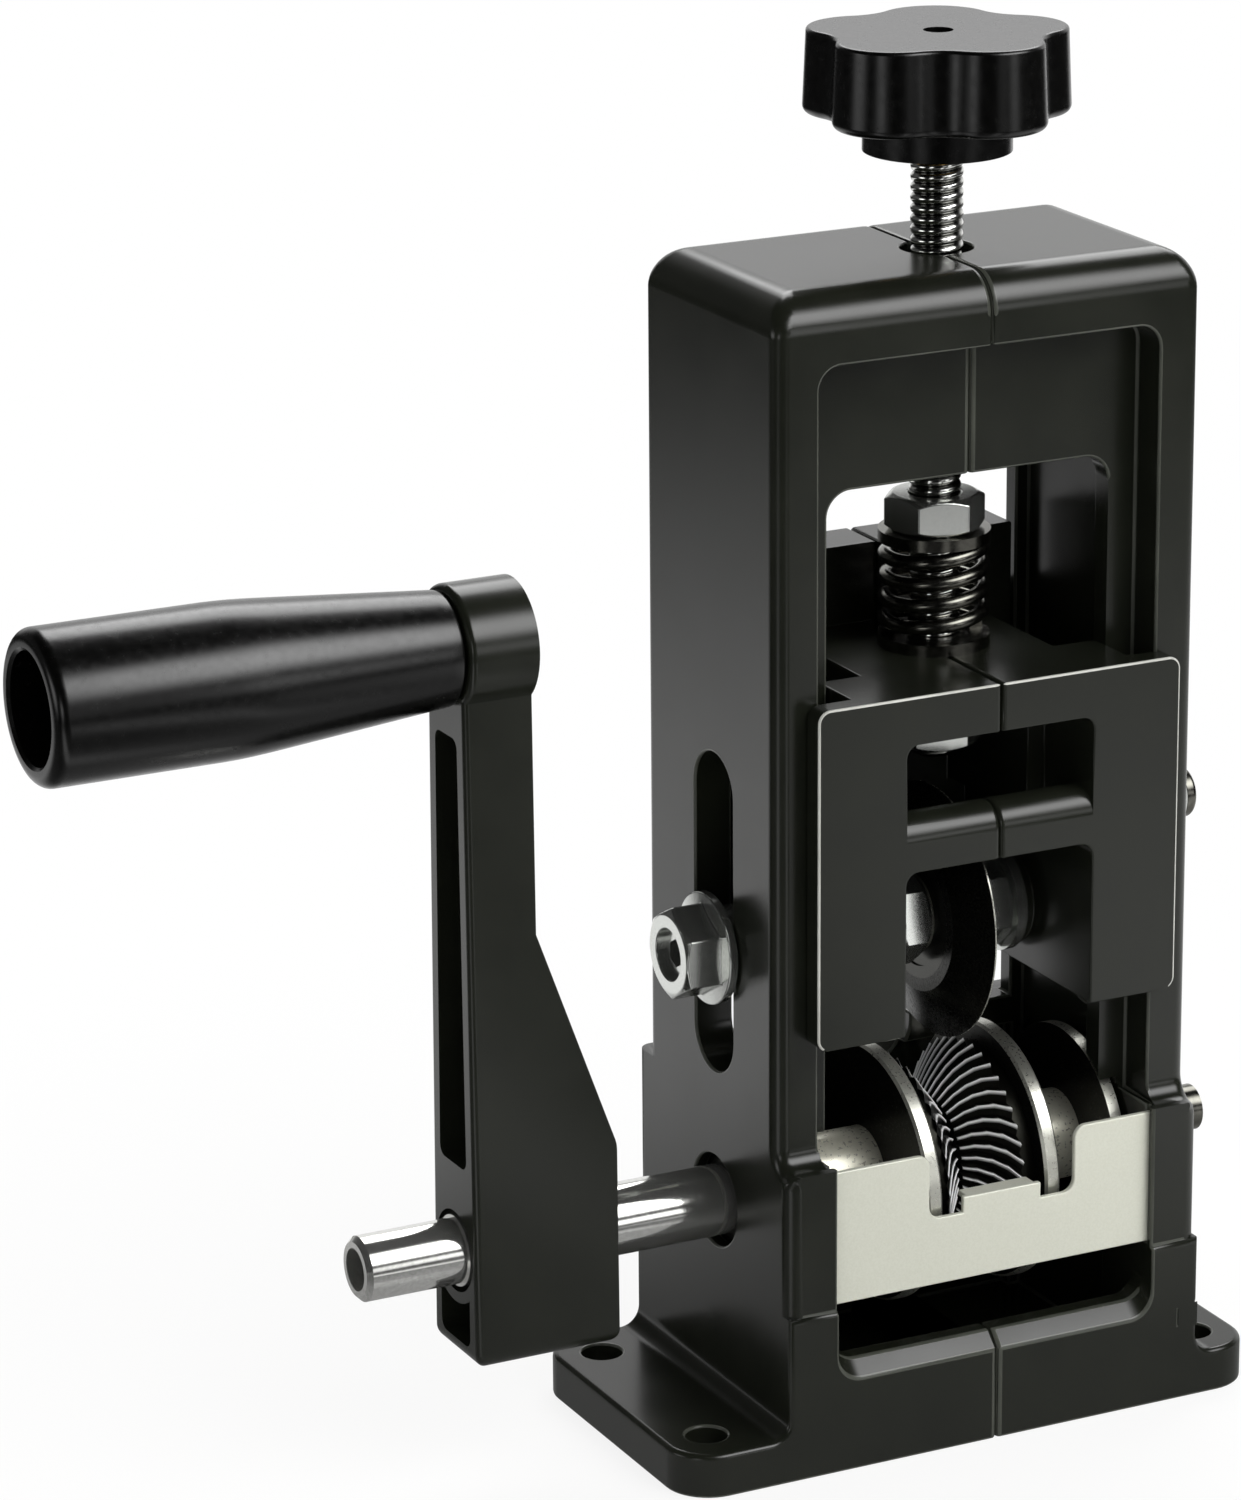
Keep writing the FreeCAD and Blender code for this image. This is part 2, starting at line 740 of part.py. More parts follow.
def roller_rim():
    """Flange disc beside the knurled groove, right side."""
    bevel = roller_rim_bevel
    bore_r = shaft_journal_d / 2 + seat_gap
    rim_r = roller_rim_d / 2
    return revolve_x([
        (roller_rim_inner, bore_r),
        (roller_rim_inner, rim_r - bevel),
        (roller_rim_inner + bevel, rim_r),
        (roller_rim_outer - bevel, rim_r),
        (roller_rim_outer, rim_r - bevel),
        (roller_rim_outer, bore_r),
    ], mid_y, drive_z)


def tooth_ring(share):
    """Corner points of the zigzag outline, crests and roots in turn, at a share of the groove's flank."""
    x = knurl_face_inner + share * (knurl_face_outer - knurl_face_inner)
    crest_r = (knurl_inner_d + share * (knurl_outer_d - knurl_inner_d)) / 2
    sweep_deg = knurl_sweep_deg * share ** 2
    ring = []
    for k in range(2 * knurl_teeth):
        a = math.radians(sweep_deg + 180.0 * k / knurl_teeth)
        r = crest_r - knurl_tooth_depth * (k % 2)
        ring.append(Vec(x, mid_y + r * math.cos(a), drive_z + r * math.sin(a)))
    return ring


def facet(*corners):
    return Part.Face(Part.makePolygon(corners + corners[:1]))


def knurled_roller():
    """Right half of the driving groove: a cone whose swept teeth grip the wire."""
    rings = [tooth_ring(k / knurl_steps) for k in range(knurl_steps + 1)]
    facets = [facet(*rings[0]), facet(*rings[-1])]
    for near_ring, far_ring in zip(rings, rings[1:]):
        for k in range(len(near_ring)):
            a, b = near_ring[k - 1], near_ring[k]
            c, d = far_ring[k], far_ring[k - 1]
            facets.append(facet(a, b, c))
            facets.append(facet(a, c, d))
    shell = Part.Shell(facets)
    shell.sewShape()
    cone = Part.Solid(shell)
    if cone.Volume < 0:
        cone.reverse()
    back_d = knurl_outer_d - 2 * knurl_tooth_depth
    back = cyl_x(back_d, knurl_face_outer, roller_rim_inner, mid_y, drive_z)
    body = cone.fuse(back)
    return body.cut(cyl_x(shaft_journal_d + 2 * seat_gap, 0, roller_rim_inner + over, mid_y, drive_z))


def hub_sleeve_left():
    return ring_x(hub_d, shaft_journal_d + 2 * seat_gap, -bearing_inset, work_x - roller_rim_outer,
                  mid_y, drive_z)


def guard_disc_x():
    """Inner face of the guard disc, which stands clear of the right bearing."""
    return bearing_inset - running_gap - guard_disc_thickness


def hub_sleeve_right():
    return ring_x(hub_d, shaft_journal_d + 2 * seat_gap, work_x + roller_rim_outer, guard_disc_x(),
                  mid_y, drive_z)


def guard_disc():
    """Thin disc at the right bearing with a short neck that touches only the inner ring."""
    disc = cyl_x(guard_disc_d, guard_disc_x(), guard_disc_x() + guard_disc_thickness, mid_y, drive_z)
    neck = cyl_x(journal_inner_ring_d(), guard_disc_x(), bearing_inset, mid_y, drive_z)
    bore = cyl_x(shaft_journal_d + 2 * seat_gap, guard_disc_x() - over, bearing_inset + over, mid_y, drive_z)
    return fuse_all([disc, neck]).cut(bore)


def shaft_end_collar():
    """Collar against the right bearing's inner ring that stops the shaft sliding out."""
    neck_end = column_half + running_gap
    neck = cyl_x(journal_inner_ring_d() - 2 * running_gap, bearing_outset, neck_end, mid_y, drive_z)
    collar = cyl_x(end_collar_d, neck_end, neck_end + end_collar_width, mid_y, drive_z)
    bore = cyl_x(shaft_journal_d + 2 * seat_gap, bearing_outset - over, neck_end + end_collar_width + over,
                 mid_y, drive_z)
    return fuse_all([neck, collar]).cut(bore)


def shaft_end_washer():
    return ring_x(end_washer_d, end_screw_d + 2 * seat_gap, shaft_right_end,
                  shaft_right_end + end_washer_thickness, mid_y, drive_z)


def shaft_end_screw():
    return cap_screw(end_screw_d, end_screw_head_d, end_screw_head_length,
                     shaft_right_end + end_washer_thickness, shaft_right_end - end_screw_grip,
                     mid_y, drive_z)


# ---- crank ----------------------------------------------------------------------------------------
def arm_pocket(z0, z1, width0, width1):
    """A tapered pocket in the outer face of the arm."""
    y0 = width0 / 2
    y1 = width1 / 2
    corners = [(mid_y - y0, z0), (mid_y + y0, z0), (mid_y + y1, z1), (mid_y - y1, z1)]
    pocket = prism_x(corners, arm_outer_x - over, arm_outer_x + arm_pocket_depth)
    return rounded(pocket, arm_pocket_corner_r, "x", lambda p: True)


def arm_width(z):
    share = (z - arm_bottom_z) / (arm_neck_z - arm_bottom_z)
    return arm_bottom_width + share * (arm_neck_width - arm_bottom_width)


def crank_arm():
    """Cast arm: thick at the shaft, tapering to the boss that carries the handle."""
    top_x = arm_outer_x + arm_top_thickness
    bottom_x = arm_outer_x + arm_bottom_thickness
    top_z = handle_z + arm_boss_r
    side = prism_y([
        (arm_outer_x, arm_bottom_z),
        (bottom_x, arm_bottom_z),
        (bottom_x, arm_taper_bottom_z),
        (top_x, arm_taper_top_z),
        (top_x, top_z),
        (arm_outer_x, top_z),
    ], mid_y - arm_boss_r, mid_y + arm_boss_r)
    knee = lambda p: near(p.x, bottom_x) and near(p.z, arm_taper_bottom_z)
    side = rounded(side, 2 * arm_corner_r, "y", knee)
    side = rounded(side, arm_corner_r, "y", lambda p: near(p.z, arm_bottom_z))
    half0 = arm_bottom_width / 2
    half1 = arm_width(handle_z) / 2
    shank = prism_x([
        (mid_y - half0, arm_bottom_z),
        (mid_y + half0, arm_bottom_z),
        (mid_y + half1, handle_z),
        (mid_y - half1, handle_z),
    ], arm_outer_x, bottom_x)
    shank = rounded(shank, arm_corner_r, "x", lambda p: near(p.z, arm_bottom_z))
    boss = cyl_x(2 * arm_boss_r, arm_outer_x, bottom_x, mid_y, handle_z)
    arm = side.common(fuse_all([shank, boss]))
    arm = arm.makeFillet(arm_edge_r, [e for e in arm.Edges if near(e.BoundBox.XMax, arm_outer_x)])
    hub = cyl_x(2 * arm_hub_r, arm_outer_x - over, arm_outer_x + 2 * arm_pocket_depth, mid_y, drive_z)
    upper = arm_pocket(arm_pocket_bottom_z, arm_pocket_top_z,
                       arm_width(arm_pocket_bottom_z) - 2 * arm_pocket_margin,
                       arm_width(arm_pocket_top_z) - 2 * arm_pocket_margin)
    lower_bottom = arm_bottom_z + arm_pocket_margin
    lower_width = arm_bottom_width - 2 * arm_pocket_margin
    lower = arm_pocket(lower_bottom, drive_z, lower_width, lower_width)
    arm = arm.cut(upper).cut(lower.cut(hub))
    arm = arm.cut(cyl_x(arm_recess_d, arm_outer_x - over, arm_outer_x + arm_recess_depth, mid_y, drive_z))
    arm = arm.cut(cyl_x(shaft_d + 2 * seat_gap, arm_outer_x - over, bottom_x + over, mid_y, drive_z))
    arm = arm.cut(cyl_x(handle_bolt_d + 2 * seat_gap, arm_outer_x - over, bottom_x + over, mid_y, handle_z))
    return arm.cut(cyl_y(set_screw_d + 2 * seat_gap, mid_y, mid_y + arm_boss_r, set_screw_x(), drive_z))


def set_screw_x():
    return arm_outer_x + arm_bottom_thickness / 2


def crank_set_screw():
    """Grub screw in the back of the arm that bears on the shaft."""
    y0 = mid_y + shaft_d / 2
    y1 = mid_y + arm_width(drive_z) / 2 - running_gap
    screw = cyl_y(set_screw_d, y0, y1, set_screw_x(), drive_z)
    socket_depth = (y1 - y0) * socket_share
    return screw.cut(cyl_y(set_screw_d * socket_share, y1 - socket_depth, y1 + over, set_screw_x(), drive_z))


def handle_inner_x():
    return arm_outer_x - running_gap


def handle_outer_x():
    return handle_inner_x() - handle_length


def handle_seat_x():
    """Bottom of the handle's wide bore, where its bolt head sits."""
    return handle_outer_x() + handle_bore_depth


def handle_grip():
    """Turned grip, slim at the arm and swelling to its full size."""
    x0 = handle_inner_x()
    x1 = handle_outer_x()
    neck = handle_neck_d / 2
    full = handle_grip_d / 2
    bore = handle_bolt_d / 2 + bore_gap
    wide = handle_bore_d / 2
    def at(x, r):
        return Vec(x, mid_y, handle_z + r)

    swell_start = at(x0 - handle_neck_length, neck)
    swell_end = at(x0 - handle_swell, full)
    r = handle_end_r
    inset = r * (1 - math.sqrt(0.5))
    rim = Part.Arc(at(x1 + r, full), at(x1 + inset, full - inset), at(x1, full - r))
    edges = [
        Part.makeLine(at(x0, bore), at(x0, neck)),
        Part.makeLine(at(x0, neck), swell_start),
    ] + s_curve(swell_start, swell_end) + [
        Part.makeLine(swell_end, at(x1 + r, full)),
        rim.toShape(),
        Part.makeLine(at(x1, full - r), at(x1, wide)),
        Part.makeLine(at(x1, wide), at(handle_seat_x(), wide)),
        Part.makeLine(at(handle_seat_x(), wide), at(handle_seat_x(), bore)),
        Part.makeLine(at(handle_seat_x(), bore), at(x0, bore)),
    ]
    return Part.Face(Part.Wire(edges)).revolve(at(0, 0), Vec(1, 0, 0), 360)


def handle_washer_x():
    return handle_seat_x() - running_gap - handle_washer_thickness


def handle_washer():
    return ring_x(handle_washer_d, handle_bolt_d + 2 * seat_gap, handle_washer_x(),
                  handle_washer_x() + handle_washer_thickness, mid_y, handle_z)


def handle_bolt():
    """Shoulder bolt on which the grip turns; it is screwed into the arm's boss."""
    return cap_screw(handle_bolt_d, handle_bolt_head_d, handle_bolt_head_length,
                     handle_washer_x(), arm_outer_x + arm_top_thickness - blind_gap, mid_y, handle_z)


# ---- blade ----------------------------------------------------------------------------------------
def cutting_blade():
    """Disc ground to a sharp rim on both sides, pressed on the outside of a ball bearing."""
    bore_r = blade_bearing_d / 2 + seat_gap
    half = blade_hub_width / 2
    return revolve_x([
        (-half, bore_r),
        (-half, blade_hub_d / 2),
        (-blade_bevel_width / 2, blade_bevel_d / 2),
        (-blade_edge / 2, blade_d / 2),
        (blade_edge / 2, blade_d / 2),
        (blade_bevel_width / 2, blade_bevel_d / 2),
        (half, blade_hub_d / 2),
        (half, bore_r),
    ], mid_y, blade_z)


def blade_inner_ring_d():
    return axle_d + 2 * blade_bearing_ring


def blade_bearing_outer():
    half = blade_hub_width / 2
    return bearing_outer_ring(blade_bearing_d, blade_bearing_ring, blade_inner_ring_d(),
                              -half, half, blade_z)


def blade_bearing_inner():
    half = blade_hub_width / 2
    return ring_x(blade_inner_ring_d(), axle_d + 2 * seat_gap, -half, half, mid_y, blade_z)


def blade_axle():
    """Bolt through both slots: low round head at the right, hollow hexagon end at the left."""
    head_x = column_half + running_gap + axle_washer_thickness
    shank = cyl_x(axle_d, axle_left_end, head_x, mid_y, blade_z)
    head = cyl_x(axle_head_d, head_x, head_x + axle_head_length, mid_y, blade_z)
    socket = hex_x(axle_socket_af, axle_left_end - over, axle_left_end + axle_socket_depth, mid_y, blade_z)
    return fuse_all([shank, head]).cut(socket)


def axle_washer():
    x0 = column_half + running_gap
    return ring_x(axle_washer_d, axle_d + 2 * seat_gap, x0, x0 + axle_washer_thickness, mid_y, blade_z)


def axle_flange_nut():
    """Hexagon nut with a round flange, outside the left slot."""
    x1 = -column_half - running_gap
    x0 = x1 - flange_nut_length
    bar = nut_x(flange_nut_af, axle_d + 2 * seat_gap, x0, x1, mid_y, blade_z)
    bore_r = axle_d / 2 + seat_gap
    flange_r = axle_washer_d / 2
    rim_x = x1 - flange_nut_rim
    slope_x = rim_x - flange_nut_slope
    flange = revolve_x([
        (x1, bore_r),
        (x1, flange_r),
        (rim_x, flange_r),
        (slope_x, flange_nut_af / 2),
        (slope_x, bore_r),
    ], mid_y, blade_z)
    return fuse_all([bar, flange])


def slot_bushing():
    """Round bushing on the axle, between carriage and wall, that rides in the right slot."""
    return ring_x(slot_bushing_d, axle_d + 2 * seat_gap, cheek_outer, column_half + running_gap,
                  mid_y, blade_z)


def stack_ends(spacer_length):
    """Outer ends of spacer, nut and washer on one side, from the middle of the blade."""
    spacer_end = blade_hub_width / 2 + spacer_length
    nut_end = spacer_end + hex_nut_length
    return spacer_end, nut_end, nut_end + hex_washer_thickness


def blade_spacer(spacer_length):
    spacer_end, nut_end, washer_end = stack_ends(spacer_length)
    return ring_x(spacer_d, axle_d + 2 * seat_gap, blade_hub_width / 2, spacer_end, mid_y, blade_z)


def blade_nut(spacer_length):
    spacer_end, nut_end, washer_end = stack_ends(spacer_length)
    return nut_x(hex_nut_af, axle_d + 2 * seat_gap, spacer_end, nut_end, mid_y, blade_z, blade_nut_turn_deg)


def blade_washer(spacer_length):
    spacer_end, nut_end, washer_end = stack_ends(spacer_length)
    return ring_x(hex_washer_d, axle_d + 2 * seat_gap, nut_end, washer_end, mid_y, blade_z)


# ---- carriage -------------------------------------------------------------------------------------
def carriage_screw_places():
    """(y, z) of the two screws that join the carriage halves."""
    z = carriage_ceiling + carriage_deck / 2
    y = (carriage_wall_front + column_back) / 2
    return [(column_front + carriage_neck_depth / 2, z), (y, z)]


def carriage_halves():
    """Cast slide: a plate on each face of the column, joined through the window by deck and cheeks."""
    plate_half = carriage_plate_width / 2
    front_plate = box(-plate_half, plate_half, carriage_front, column_front - running_gap,
                      carriage_bottom, carriage_top)
    rear_plate = box(-plate_half, plate_half, column_back + running_gap, carriage_back,
                     carriage_bottom, carriage_top)
    corners = lambda p: True
    front_plate = rounded(front_plate, carriage_corner_r, "y", corners)
    rear_plate = rounded(rear_plate, carriage_corner_r, "y", corners)
    neck = box(-carriage_neck_half, carriage_neck_half, column_front - running_gap - over,
               column_front + carriage_neck_depth, carriage_bottom, carriage_top)
    wall = box(-carriage_neck_half, carriage_neck_half,
               carriage_wall_front, column_back + running_gap + over,
               carriage_bottom, carriage_rear_top)
    deck_half = carriage_deck_width / 2
    deck = box(-deck_half, deck_half, column_front, column_back - over,
               carriage_cheek_top - over, carriage_top)
    cheeks = box(-cheek_outer, cheek_outer, column_front, column_back - over,
                 carriage_bottom, carriage_cheek_top)
    bosses = cyl_x(carriage_boss_d, -cheek_inner - over, cheek_inner + over, mid_y, blade_z)
    body = fuse_all([front_plate, rear_plate, neck, wall, deck, cheeks])
    cavity_half = carriage_cavity_width / 2
    inner_front = column_front + carriage_neck_depth
    cavity = box(-cavity_half, cavity_half, inner_front, carriage_wall_front,
                 carriage_bottom - over, carriage_ceiling)
    bay = box(-cheek_inner, cheek_inner, carriage_front - over, carriage_wall_front,
              carriage_bottom - over, carriage_throat_top)
    bay = rounded(bay, carriage_corner_r, "y", lambda p: near(p.z, carriage_throat_top))
    window = box(-cheek_inner, cheek_inner, carriage_front - over, inner_front + over,
                 carriage_window_bottom, carriage_ceiling)
    window = rounded(window, carriage_corner_r, "y", corners)
    behind_bar = box(-cheek_inner, cheek_inner, carriage_front - over, inner_front + over,
                     carriage_throat_top - over, carriage_window_bottom + carriage_corner_r)
    bar_z = carriage_window_bottom - carriage_bar_d / 2
    bar = cyl_x(carriage_bar_d, -cheek_inner - over, cheek_inner + over, bar_y(), bar_z)
    web = box(-cheek_inner, cheek_inner, carriage_front, column_front + running_gap,
              carriage_throat_top - carriage_corner_r, bar_z).cut(bay)
    half_pocket = blade_hub_width / 2 + blade_pocket_gap
    blade_pocket = cyl_x(blade_d + 2 * blade_pocket_gap, work_x - half_pocket, work_x + half_pocket,
                         mid_y, blade_z)
    for cut in (cavity, bay, window, behind_bar, blade_pocket):
        body = body.cut(cut)
    stack_left = work_x - stack_ends(left_spacer_length)[-1]
    stack_right = work_x + stack_ends(right_spacer_length)[-1]
    boss_gap = box(stack_left, stack_right, carriage_front, carriage_back, carriage_bottom, carriage_top)
    body = fuse_all([body, bar, web, bosses.cut(boss_gap)])
    body = body.cut(cyl_x(axle_d + 2 * seat_gap, -cheek_outer - over, cheek_outer + over, mid_y, blade_z))
    body = body.cut(cyl_z(screw_d + 2 * bore_gap, carriage_ceiling - over, carriage_top + over,
                          work_x, mid_y))
    for y, z in carriage_screw_places():
        body = body.cut(cyl_x(carriage_screw_d + 2 * seat_gap, -carriage_screw_grip(),
                              carriage_screw_face() + over, y, z))
        body = body.cut(cyl_x(carriage_screw_head_d + 2 * running_gap, carriage_screw_face(),
                              carriage_plate_width, y, z))
    return [bevel_seam(half_of(body, side), column_front, column_back, carriage_top) for side in (-1, 1)]


def bar_y():
    return carriage_front + carriage_bar_d / 2


def carriage_screw_face():
    return carriage_neck_half - carriage_screw_head_length - running_gap


def carriage_screw_grip():
    """How far the carriage screws reach into the left half."""
    return carriage_deck_width / 2 - running_gap


def carriage_screws():
    return Part.makeCompound([
        cap_screw(carriage_screw_d, carriage_screw_head_d, carriage_screw_head_length,
                  carriage_screw_face(), blind_gap - carriage_screw_grip(), y, z)
        for y, z in carriage_screw_places()
    ])


def lower_spring_washer():
    return ring_z(spring_d, screw_d + 2 * bore_gap, carriage_top, spring_bottom, work_x, mid_y)


# ---- knob screw -----------------------------------------------------------------------------------
def upper_spring_washer():
    return ring_z(spring_d, screw_d + 2 * bore_gap, spring_seat_z, upper_nut_bottom, work_x, mid_y)


def spring():
    """Pressure spring with ground ends. Each half turn is an arc that is tilted about the line across
    the screw, so that the next one starts level where it ends."""
    wire_r = spring_wire_d / 2
    mean_r = spring_d / 2 - wire_r
    first = spring_bottom + wire_r / 2
    last = spring_seat_z - wire_r / 2
    halves = 2 * spring_turns
    rise = (last - first) / halves
    arc_r = math.hypot(mean_r, rise / 2)
    tilt_deg = math.degrees(math.atan2(rise / 2, mean_r))
    coils = []
    for k in range(halves):
        half = Part.makeTorus(arc_r, wire_r, Vec(0, 0, 0), Vec(0, 0, 1), 0, 360, 180)
        half.rotate(Vec(0, 0, 0), Vec(0, 1, 0), tilt_deg)
        half.rotate(Vec(0, 0, 0), Vec(0, 0, 1), 180 * k)
        half.translate(Vec(work_x, mid_y, first + rise * (k + 0.5)))
        coils.append(half)
    wire = fuse_all(coils)
    return wire.common(cyl_z(2 * spring_d, spring_bottom, spring_seat_z, work_x, mid_y))


def upper_nut():
    top = upper_nut_bottom + upper_nut_height
    return nut_z(hex_nut_af, screw_d + 2 * seat_gap, upper_nut_bottom, top, work_x, mid_y)


def lower_washer():
    top = carriage_ceiling
    return ring_z(spring_d, screw_d + 2 * seat_gap, top - lower_washer_thickness, top, work_x, mid_y)


def lower_nut():
    top = carriage_ceiling - lower_washer_thickness
    return nut_z(hex_nut_af, screw_d + 2 * seat_gap, top - nut_height, top, work_x, mid_y)


def adjusting_screw():
    rod = cyl_z(screw_d, screw_bottom, screw_top, work_x, mid_y)
    ends = [e for e in rod.Edges if e.BoundBox.ZLength < 0.1]
    return rod.makeChamfer(screw_chamfer, ends)


def knob_point(r, turn_deg):
    """A point on the knob's underside, by its distance and angle from the middle of the knob."""
    a = math.radians(turn_deg)
    return Vec(r * math.cos(a), r * math.sin(a), knob_bottom)


def star_knob():
    """Lobed knob: the lobes are round and the valleys between them are hollow arcs that meet them
    smoothly. The lobes narrow towards the top by the mould's draft, and the valleys widen with them."""
    up = Vec(0, 0, knob_top - knob_bottom)
    draft = up.z * math.tan(math.radians(knob_draft_deg))
    step_deg = 360.0 / knob_lobes
    half_step = math.radians(step_deg / 2)
    lobe_centre_r = knob_d / 2 - knob_lobe_r
    reach = knob_lobe_r + knob_valley_r
    valley_centre_r = (lobe_centre_r * math.cos(half_step)
                       + math.sqrt(reach ** 2 - (lobe_centre_r * math.sin(half_step)) ** 2))
    solids = []
    valleys = []
    for k in range(knob_lobes):
        lobe = knob_point(lobe_centre_r, step_deg * k)
        next_lobe = knob_point(lobe_centre_r, step_deg * (k + 1))
        valley = knob_point(valley_centre_r, step_deg * (k + 0.5))
        solids.append(Part.makeCone(knob_lobe_r, knob_lobe_r - draft, up.z, lobe))
        solids.append(prism([knob_point(0, 0), lobe, valley, next_lobe], up))
        valleys.append(Part.makeCone(knob_valley_r, knob_valley_r + draft, up.z, valley))
    star = fuse_all(solids)
    for valley in valleys:
        star = star.cut(valley)
    star = star.removeSplitter()
    for z, r in ((knob_bottom, knob_bottom_edge_r), (knob_top, knob_top_edge_r)):
        rim = [e for e in star.Edges if near(e.BoundBox.ZMin, z) and near(e.BoundBox.ZMax, z)]
        star = star.makeFillet(r, rim)
    hub = cyl_z(knob_hub_d, knob_bottom - knob_hub_height, knob_bottom + knob_bottom_edge_r + over, 0, 0)
    star = fuse_all([star, hub])
    star.rotate(Vec(0, 0, 0), Vec(0, 0, 1), knob_phase_deg)
    star.translate(Vec(work_x, mid_y, 0))
    bush_bottom = knob_bottom - knob_hub_height
    star = star.cut(cyl_z(knob_insert_d, bush_bottom - over, screw_top, work_x, mid_y))
    return star.cut(cyl_z(knob_vent_d, screw_top - over, knob_top + over, work_x, mid_y))


def knob_insert():
    """Threaded metal bush moulded into the knob."""
    return ring_z(knob_insert_d, screw_d + 2 * seat_gap, knob_bottom - knob_hub_height, screw_top,
                  work_x, mid_y)


# ---- the whole tool -------------------------------------------------------------------------------
def in_work_plane(shape):
    return shape.translated(Vec(work_x, 0, 0))


def export(pieces):
    os.makedirs("parts", exist_ok=True)
    for name, shape in pieces.items():
        shape.translate(Vec(seam_x, 0, 0))
        shape.exportStep("parts/" + name + ".step")
        if not shape.isValid():
            print("not valid:", name)


def main():
    left_frame, right_frame = frame_halves()
    left_carriage, right_carriage = carriage_halves()
    pieces = {
        "left_frame_half": left_frame,
        "right_frame_half": right_frame,
        "frame_screws": frame_screws(),
        "guide_plate": guide_plate(),
        "gib_screw": gib_screw(),
        "gib_lock_nut": gib_lock_nut(),
        "lift_nut": lift_nut(),
        "drive_shaft": drive_shaft(),
        "hub_sleeve_left": hub_sleeve_left(),
        "hub_sleeve_right": hub_sleeve_right(),
        "guard_disc": guard_disc(),
        "shaft_end_collar": shaft_end_collar(),
        "shaft_end_washer": shaft_end_washer(),
        "shaft_end_screw": shaft_end_screw(),
        "crank_arm": crank_arm(),
        "crank_set_screw": crank_set_screw(),
        "handle_bolt": handle_bolt(),
        "handle_washer": handle_washer(),
        "handle_grip": handle_grip(),
        "left_carriage_half": left_carriage,
        "right_carriage_half": right_carriage,
        "carriage_screws": carriage_screws(),
        "blade_axle": blade_axle(),
        "axle_flange_nut": axle_flange_nut(),
        "axle_washer": axle_washer(),
        "cutting_blade": in_work_plane(cutting_blade()),
        "blade_bearing_outer": in_work_plane(blade_bearing_outer()),
        "blade_bearing_inner": in_work_plane(blade_bearing_inner()),
        "lower_spring_washer": lower_spring_washer(),
        "upper_spring_washer": upper_spring_washer(),
        "spring": spring(),
        "adjusting_screw": adjusting_screw(),
        "upper_nut": upper_nut(),
        "lower_washer": lower_washer(),
        "lower_nut": lower_nut(),
        "star_knob": star_knob(),
        "knob_insert": knob_insert(),
    }
    about_seam = {
        "shaft_bearing_outer": shaft_bearing_outer(),
        "shaft_bearing_inner": shaft_bearing_inner(),
        "slot_bushing": slot_bushing(),
    }
    for name, shape in about_seam.items():
        pieces["right_" + name] = shape
        pieces["left_" + name] = mirror_x(shape)
    about_work_plane = {
        "roller_rim": roller_rim(),
        "knurled_roller": knurled_roller(),
    }
    for name, shape in about_work_plane.items():
        pieces["right_" + name] = in_work_plane(shape)
        pieces["left_" + name] = in_work_plane(mirror_x(shape))
    for name, make in {"spacer": blade_spacer, "nut": blade_nut, "washer": blade_washer}.items():
        pieces["right_blade_" + name] = in_work_plane(make(right_spacer_length))
        pieces["left_blade_" + name] = in_work_plane(mirror_x(make(left_spacer_length)))
    export(pieces)


main()
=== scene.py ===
"""Hand crank wire stripper: finishes, threads and small parts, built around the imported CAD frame.

Metres. +X runs along the shaft towards the right side, +Y to the back, +Z up.
"""

import math

import bmesh
import bpy
from mathutils import Matrix, Vector
from mathutils.bvhtree import BVHTree


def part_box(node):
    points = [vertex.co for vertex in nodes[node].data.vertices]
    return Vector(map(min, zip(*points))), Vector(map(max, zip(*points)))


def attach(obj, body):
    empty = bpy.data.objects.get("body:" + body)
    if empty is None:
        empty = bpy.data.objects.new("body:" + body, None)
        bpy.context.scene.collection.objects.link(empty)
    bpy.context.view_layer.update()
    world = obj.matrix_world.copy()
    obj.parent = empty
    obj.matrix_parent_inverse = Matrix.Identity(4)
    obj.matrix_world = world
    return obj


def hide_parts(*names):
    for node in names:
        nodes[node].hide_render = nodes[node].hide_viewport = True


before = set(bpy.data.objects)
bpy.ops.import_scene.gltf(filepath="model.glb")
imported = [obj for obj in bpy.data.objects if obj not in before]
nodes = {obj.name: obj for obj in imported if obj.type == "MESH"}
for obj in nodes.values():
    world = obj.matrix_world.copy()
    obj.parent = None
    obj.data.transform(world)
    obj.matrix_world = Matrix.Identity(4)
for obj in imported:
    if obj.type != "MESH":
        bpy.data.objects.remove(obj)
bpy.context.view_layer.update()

mm = 0.001

# Faces that meet at less than this angle are shaded as one smooth surface.
smooth_angle = math.radians(32)


def new_object(name, data):
    """An object of this data, in the scene."""
    item = bpy.data.objects.new(name, data)
    bpy.context.scene.collection.objects.link(item)
    return item


def new_mesh(name, points, faces, material):
    """A mesh of one material."""
    mesh = bpy.data.meshes.new(name)
    mesh.from_pydata(points, [], faces)
    mesh.materials.append(material)
    return mesh


def new_piece(name, mesh, body):
    """A piece of the tool that moves with this body."""
    piece = new_object(name, mesh)
    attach(piece, body)
    return piece


# ---------------------------------------------------------------- camera

camera_stand = Vector((-530.8, -946.7, 474.4)) * mm
camera_azimuth = math.radians(26.29)
camera_drop = math.radians(17.48)
camera_roll = math.radians(-0.53)

lens = bpy.data.cameras.new("product_lens")
lens.sensor_width = 36.0
lens.lens = 143.13
lens.shift_x = 0.0111
lens.shift_y = -0.0059
lens.clip_start = 0.05
lens.clip_end = 60.0
camera = new_object("product_camera", lens)
camera.matrix_world = (
    Matrix.Translation(camera_stand)
    @ Matrix.Rotation(-camera_azimuth, 4, "Z")
    @ Matrix.Rotation(math.pi / 2 - camera_drop, 4, "X")
    @ Matrix.Rotation(camera_roll, 4, "Z")
)
bpy.context.scene.camera = camera
bpy.context.scene.view_settings.view_transform = "Standard"

# ---------------------------------------------------------------- shader nodes


